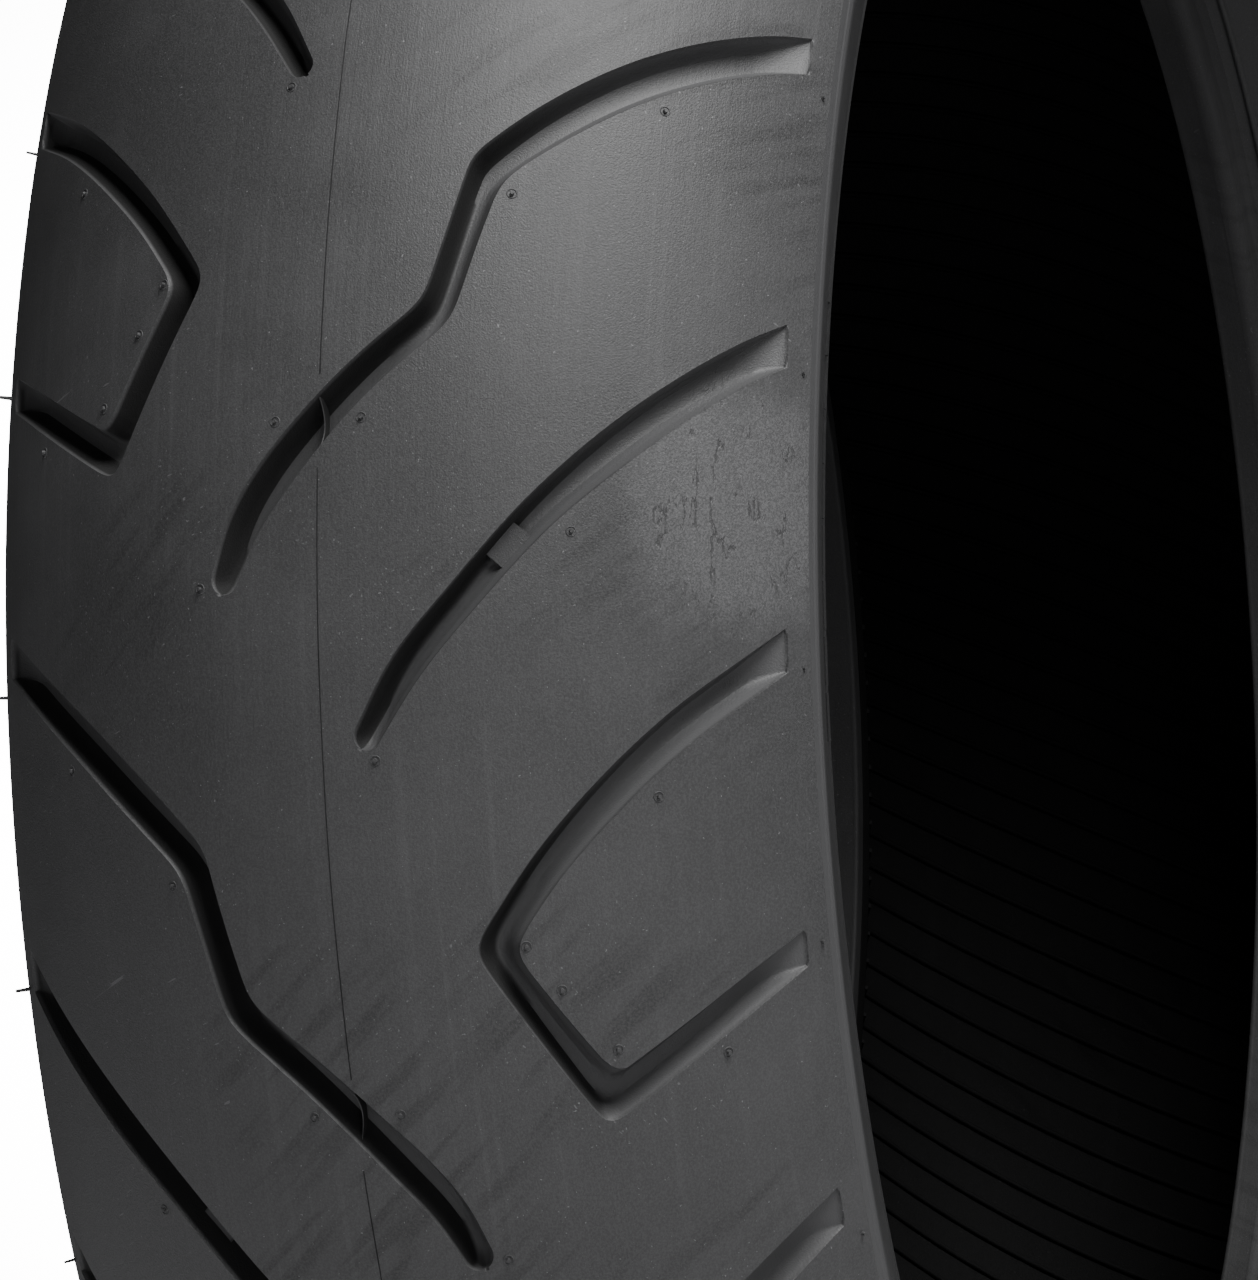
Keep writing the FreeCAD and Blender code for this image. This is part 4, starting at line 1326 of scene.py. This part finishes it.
def bead_loop():
    """The bead from its outer face round the seat to the toe, closed through the middle of the bead."""
    face = [FLANGE_TOP, (64.3, 227.0), (63.5, 226.1), (HEEL_Y, 225.2), (HEEL_Y, SEAT + HEEL_ROUND)]
    heel = [(HEEL_Y - HEEL_ROUND * (1 - math.cos(a)), SEAT + HEEL_ROUND * (1 - math.sin(a)))
            for a in np.linspace(0, math.pi / 2, 10)]
    toe = [(TOE_Y + TOE_ROUND * (1 - math.sin(a)), SEAT + TOE_ROUND * (1 - math.cos(a)))
           for a in np.linspace(0, math.pi / 2, 5)]
    fine = [(y, SEAT + (0.12 if k % 2 else 0.0)) for k, y in enumerate(np.linspace(59.0, 53.6, 13))]
    back = [(TOE_Y, 222.5), (55.0, 224.0), (58.5, 226.5), (62.0, 228.6), (64.6, 229.4)]
    return face[:-1] + heel + fine + toe + back


for side, word in ((1, "right"), (-1, "left")):
    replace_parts(lathe("sidewall_skin_" + word, side_loop(), side, SIDE_RUBBER), "sidewall_" + word)
    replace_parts(lathe("bead_skin_" + word, bead_loop(), side, BEAD_RUBBER), "chafer_" + word)

# %% [markdown]
# A sidewall usually carries raised lettering. This tire carries no words, so short blank ribs stand where
# they would be, in six even groups.

# %% Blank ribs on the sidewalls
def rib_tree():
    """A short rib on each point, lying along the wheel's turn."""
    tree, given = tree_with("Blank rib on each point", Length=0.010, Width=0.0011, Height=0.0009)
    size = node(tree, "ShaderNodeCombineXYZ")
    block = node(tree, "GeometryNodeMeshCube")
    wire(tree, (given, "Length", size, "X"), (given, "Width", size, "Y"), (given, "Height", size, "Z"),
         (size, 0, block, "Size"))
    return end_tree(tree, given, on_points(tree, given, block, lengthwise=True))


BLANK_RIBS = rib_tree()
RIB_GROUPS, RIBS_IN_GROUP, RIB_STEP = 6, 9, 2.6     # the step from rib to rib is in degrees
rib_y, rib_r = UPPER_SIDE[48]
group_starts = np.arange(RIB_GROUPS) * 360 / RIB_GROUPS
in_group = (np.arange(RIBS_IN_GROUP) - RIBS_IN_GROUP / 2) * RIB_STEP
turns = np.radians(np.add.outer(group_starts, in_group).ravel())
cosine, sine, level = np.cos(turns), np.sin(turns), np.ones(len(turns))
for side, word in ((1, "right"), (-1, "left")):
    places = np.column_stack([rib_r * cosine, rib_y * side * level, -rib_r * sine]) * MM
    outs = np.column_stack([0.12 * cosine, side * level, -0.12 * sine])
    alongs = np.column_stack([-sine, 0 * level, -cosine])
    points = vector_points("rib_points", places, out=outs, along=alongs)
    grown("blank_ribs_" + word, points, [(BLANK_RIBS, {})], SIDE_RUBBER)

# %% [markdown]
# Inside, the curing bladder leaves ribs that run from bead to bead, a few degrees apart, where the air
# between bladder and liner escaped. One line along the liner is swept with a tiny profile and repeated
# round the axle by the same tree as before.

# %% The liner and its ribs
def liner_line(depth):
    """The liner's section at a depth below the outer ply, from the right bead to the left."""
    shoulder, toe = (61.39, 254.87), (61.0, 226.93)

    def round_part(centre, radius, angles):
        """Points on an arc, at angles in degrees."""
        return [(centre[0] + radius * math.cos(a), centre[1] + radius * math.sin(a))
                for a in np.radians(angles)]

    foot = [(55.0 - depth, 223.4), (55.0 - depth, 225.2)]
    right = foot + round_part(toe, 6 + depth, np.linspace(180, 120, 6))
    right += round_part(shoulder, 18 - depth, np.linspace(-60, 33, 26))
    top = [crown(91.2 - depth, a) for a in np.linspace(57, -57, 61)]
    return right + top[1:-1] + [(-y, r) for y, r in reversed(right)]


INNER_FACE, OUTER_FACE = liner_line(2.6), liner_line(1.6)
liner = lathe("liner_skin", INNER_FACE + OUTER_FACE[::-1], 1, SHADE_DARK_LINER, steps=300)
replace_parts(liner, "inner_liner")


def sweep_tree():
    """A small profile swept along the given line."""
    tree, given = tree_with("Sweep a small rib along a line", Radius=0.0009)
    line = node(tree, "GeometryNodeMeshToCurve")
    profile = node(tree, "GeometryNodeCurvePrimitiveCircle", mode="RADIUS", Resolution=4)
    tube = node(tree, "GeometryNodeCurveToMesh", Fill_Caps=True)
    wire(tree, (given, "Geometry", line, 0), (line, 0, tube, 0), (given, "Radius", profile, "Radius"),
         (profile, 0, tube, 1))
    return end_tree(tree, given, tube)


LINER_RIBS = 200
RIB_LEAN = math.radians(30)      # how far a rib turns from bead to bead


def rib_line():
    """A leaning line on the liner, from bead to bead."""
    line = INNER_FACE[3:-3:3]
    made = []
    for k, (y, r) in enumerate(line):
        t = RIB_LEAN * k / len(line)
        made.append((r * math.cos(t) * MM, y * MM, -r * math.sin(t) * MM))
    mesh = bpy.data.meshes.new("rib_line")
    mesh.from_pydata(made, [(i, i + 1) for i in range(len(made) - 1)], [])
    return mesh


liner_steps = [(sweep_tree(), {}), (REPEAT, {"Count": LINER_RIBS, "Merge": 0.0})]
grown("liner_ribs", rib_line(), liner_steps, SHADE_DARK_LINER)

# %% [markdown]
# The layers inside keep their CAD meshes. They only show if someone takes the tire apart, but each still
# gets a finish of its own: rubbered cord with fine parallel lines, bronze-coated bead wire, and plain
# dull rubber.

# %% Materials for the layers inside
def cord_material(name, dark, light, spacing, lean):
    """Rubbered cord: fine lines that lean against the wheel's turn."""
    material, tree, shader = principled(name)
    _, _, turn, parts, _ = wheel_place(tree)
    along = math_node(tree, "MULTIPLY", (turn, 0), lean * 0.3)
    across = math_node(tree, "ADD", (along, 0), (parts, "Y"))
    wave = math_node(tree, "SINE", (math_node(tree, "MULTIPLY", (across, 0), 2 * math.pi / spacing), 0))
    cords = ramp_node(tree, (wave, 0), -0.6, 0.8)
    skin = placed(tree, GRAIN, Strength=1.0)
    colour = mix_colour(tree, (cords, 0), dark, light)
    colour = mix_colour(tree, (skin, "Speckle"), (colour, 2), dark)
    tree.links.new(colour.outputs[2], shader.inputs["Base Color"])
    height = math_node(tree, "MULTIPLY_ADD", (cords, 0), 2.0, (skin, "Height"))
    add_relief(tree, shader, height, 0.5, 0.0002)
    shader.inputs["Roughness"].default_value = 0.65
    return material


def wire_material():
    """Bronze-coated steel with faint drawing lines."""
    material, tree, shader = principled("bead_wire_steel")
    skin = placed(tree, GRAIN, Strength=0.6)
    rings = placed(tree, TURNED, Strength=1.0)
    colour = node(tree, "ShaderNodeMix", data_type="RGBA")
    colour.inputs[6].default_value = (0.42, 0.30, 0.17, 1)
    colour.inputs[7].default_value = (0.62, 0.50, 0.34, 1)
    tree.links.new(rings.outputs["Height"], colour.inputs["Factor"])
    tree.links.new(colour.outputs[2], shader.inputs["Base Color"])
    shader.inputs["Metallic"].default_value = 1.0
    rough = math_node(tree, "MULTIPLY_ADD", (skin, "Speckle"), 0.2, 0.3)
    tree.links.new(rough.outputs[0], shader.inputs["Roughness"])
    return material


BELT_RIBBON = cord_material("belt_ribbon", 0.03, 0.09, 0.0015, 0.0)
PLY_CORD = cord_material("ply_cord", 0.035, 0.085, 0.0012, 3.0)
BEAD_WIRE = wire_material()
INSIDE = {"zero_degree_belt": BELT_RIBBON, "breaker": PLY_CORD, "carcass": PLY_CORD, "bead_wrap": PLY_CORD,
          "bead_wires": BEAD_WIRE, "tread_base": INNER_RUBBER, "belt_edge": INNER_RUBBER,
          "bead_filler": INNER_RUBBER, "bead_insulation": INNER_RUBBER}
for name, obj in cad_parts.items():
    finish = next((m for start, m in INSIDE.items() if name.startswith(start)), None)
    if finish:
        obj.data.materials.clear()
        obj.data.materials.append(finish)
print("layers inside:", sum(1 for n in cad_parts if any(n.startswith(k) for k in INSIDE)))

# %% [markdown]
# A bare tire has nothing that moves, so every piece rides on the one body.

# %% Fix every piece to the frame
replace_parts(tread, "tread_cap")
slots = {start: "tread_rubber" for start in ("tread", "vent", "shoulder", "plug", "wear", "parting")}
slots |= {start: "side_rubber" for start in ("sidewall", "bead_skin", "blank")}
slots["liner"] = "liner_rubber"
made_here = [o for o in bpy.context.scene.objects if o.type == "MESH" and o.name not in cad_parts]
for obj in made_here:
    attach(obj, "root")
print("pieces:", [o.name for o in made_here])

# %% [markdown]
# The tire stands on a wide floor of pale paper. The paper's tone varies by a trace, as real paper's does.

# %% The floor
bpy.ops.mesh.primitive_plane_add(size=12, location=(0, 0, -OUTER_RADIUS * MM))
floor = bpy.context.object
floor.name = "floor"
pale, tree, shader = principled("floor_paper")
paper = noise_node(tree, node(tree, "ShaderNodeTexCoord").outputs["Object"], 40, 3)
tone = mix_colour(tree, (paper, "Fac"), 0.56, 0.60)
tree.links.new(tone.outputs[2], shader.inputs["Base Color"])
shader.inputs["Roughness"].default_value = 0.8
floor.data.materials.append(pale)
print("the floor lies at", round(-OUTER_RADIUS * MM, 3), "m")

# %% [markdown]
# Seen low and from close to the tread's plane, the crown fills the view, and the right edge of the tread
# hides one side of the hollow. A long lens keeps the curve of the crown flat and calm.

# %% The camera
def aim(position, target, pan=0.0, tilt=0.0):
    """The turn of a camera or lamp that looks from one place to another, then a little left and up."""
    ahead = (Vector(target) - Vector(position)).normalized()
    right = ahead.cross(Vector((0, 0, 1))).normalized()
    up = right.cross(ahead)
    level = ahead * math.cos(pan) - right * math.sin(pan)
    right = right * math.cos(pan) + ahead * math.sin(pan)
    ahead = level * math.cos(tilt) + up * math.sin(tilt)
    up = up * math.cos(tilt) - level * math.sin(tilt)
    return Matrix([[right[i], up[i], -ahead[i]] for i in range(3)]).to_4x4()


DISTANCE, SIDEWAYS, RAISED = 2.2547, 0.3080, -0.1394      # metres from the axle's middle, and radians
LEVEL = DISTANCE * math.cos(RAISED)
camera_place = (LEVEL * math.cos(SIDEWAYS), LEVEL * math.sin(SIDEWAYS), DISTANCE * math.sin(RAISED))
camera = bpy.data.objects.new("camera", bpy.data.cameras.new("camera"))
bpy.context.collection.objects.link(camera)
camera.matrix_world = aim(camera_place, (0, 0, 0), 0.0175, 0.0070)
camera.location = camera_place
camera.data.sensor_fit = "VERTICAL"
camera.data.sensor_height = 36
camera.data.lens = 272.45
camera.data.shift_x, camera.data.shift_y = 0.003164, -0.003789
camera.data.clip_end = 50
bpy.context.scene.camera = camera
print("lens:", round(camera.data.lens, 1), "mm")

# %% [markdown]
# A large soft light stands to the right of the camera, so the tread grows brighter towards its right edge
# and the hollow stays dark. The world is bright in a small round patch behind the tire and almost black
# elsewhere. The patch is the white background, and it is kept small so that the rubber doesn't mirror it.

# %% Lights
BEHIND = (-0.94, -0.30, 0.14)      # the way from the camera past the tire


def soft_light(name, place, target, wide, tall, power):
    """A rectangular lamp that looks at a place."""
    light = bpy.data.lights.new(name, "AREA")
    light.shape, light.size, light.size_y, light.energy = "RECTANGLE", wide, tall, power
    obj = bpy.data.objects.new(name, light)
    bpy.context.collection.objects.link(obj)
    obj.matrix_world = aim(place, target)
    obj.location = place
    return obj


soft_light("key_light", (1.30, 1.08, 1.95), (0.2, 0.02, 0.03), 1.4, 1.3, 165)
soft_light("fill_light", (2.0, -0.5, 0.5), (0.2, 0, 0), 1.0, 1.0, 1)

world = bpy.data.worlds.new("light_tent")
bpy.context.scene.world = world
world.use_nodes = True
tree = world.node_tree
sky = tree.nodes["Background"]
way_out = node(tree, "ShaderNodeTexCoord").outputs["Generated"]
back = node(tree, "ShaderNodeVectorMath", operation="DOT_PRODUCT")
back.inputs[1].default_value = BEHIND
tree.links.new(way_out, back.inputs[0])
sky.inputs["Color"].default_value = (1, 1, 1, 1)
glow = ramp_node(tree, (back, "Value"), 0.984, 0.9935, 0.03, 16.0)
tree.links.new(glow.outputs[0], sky.inputs["Strength"])
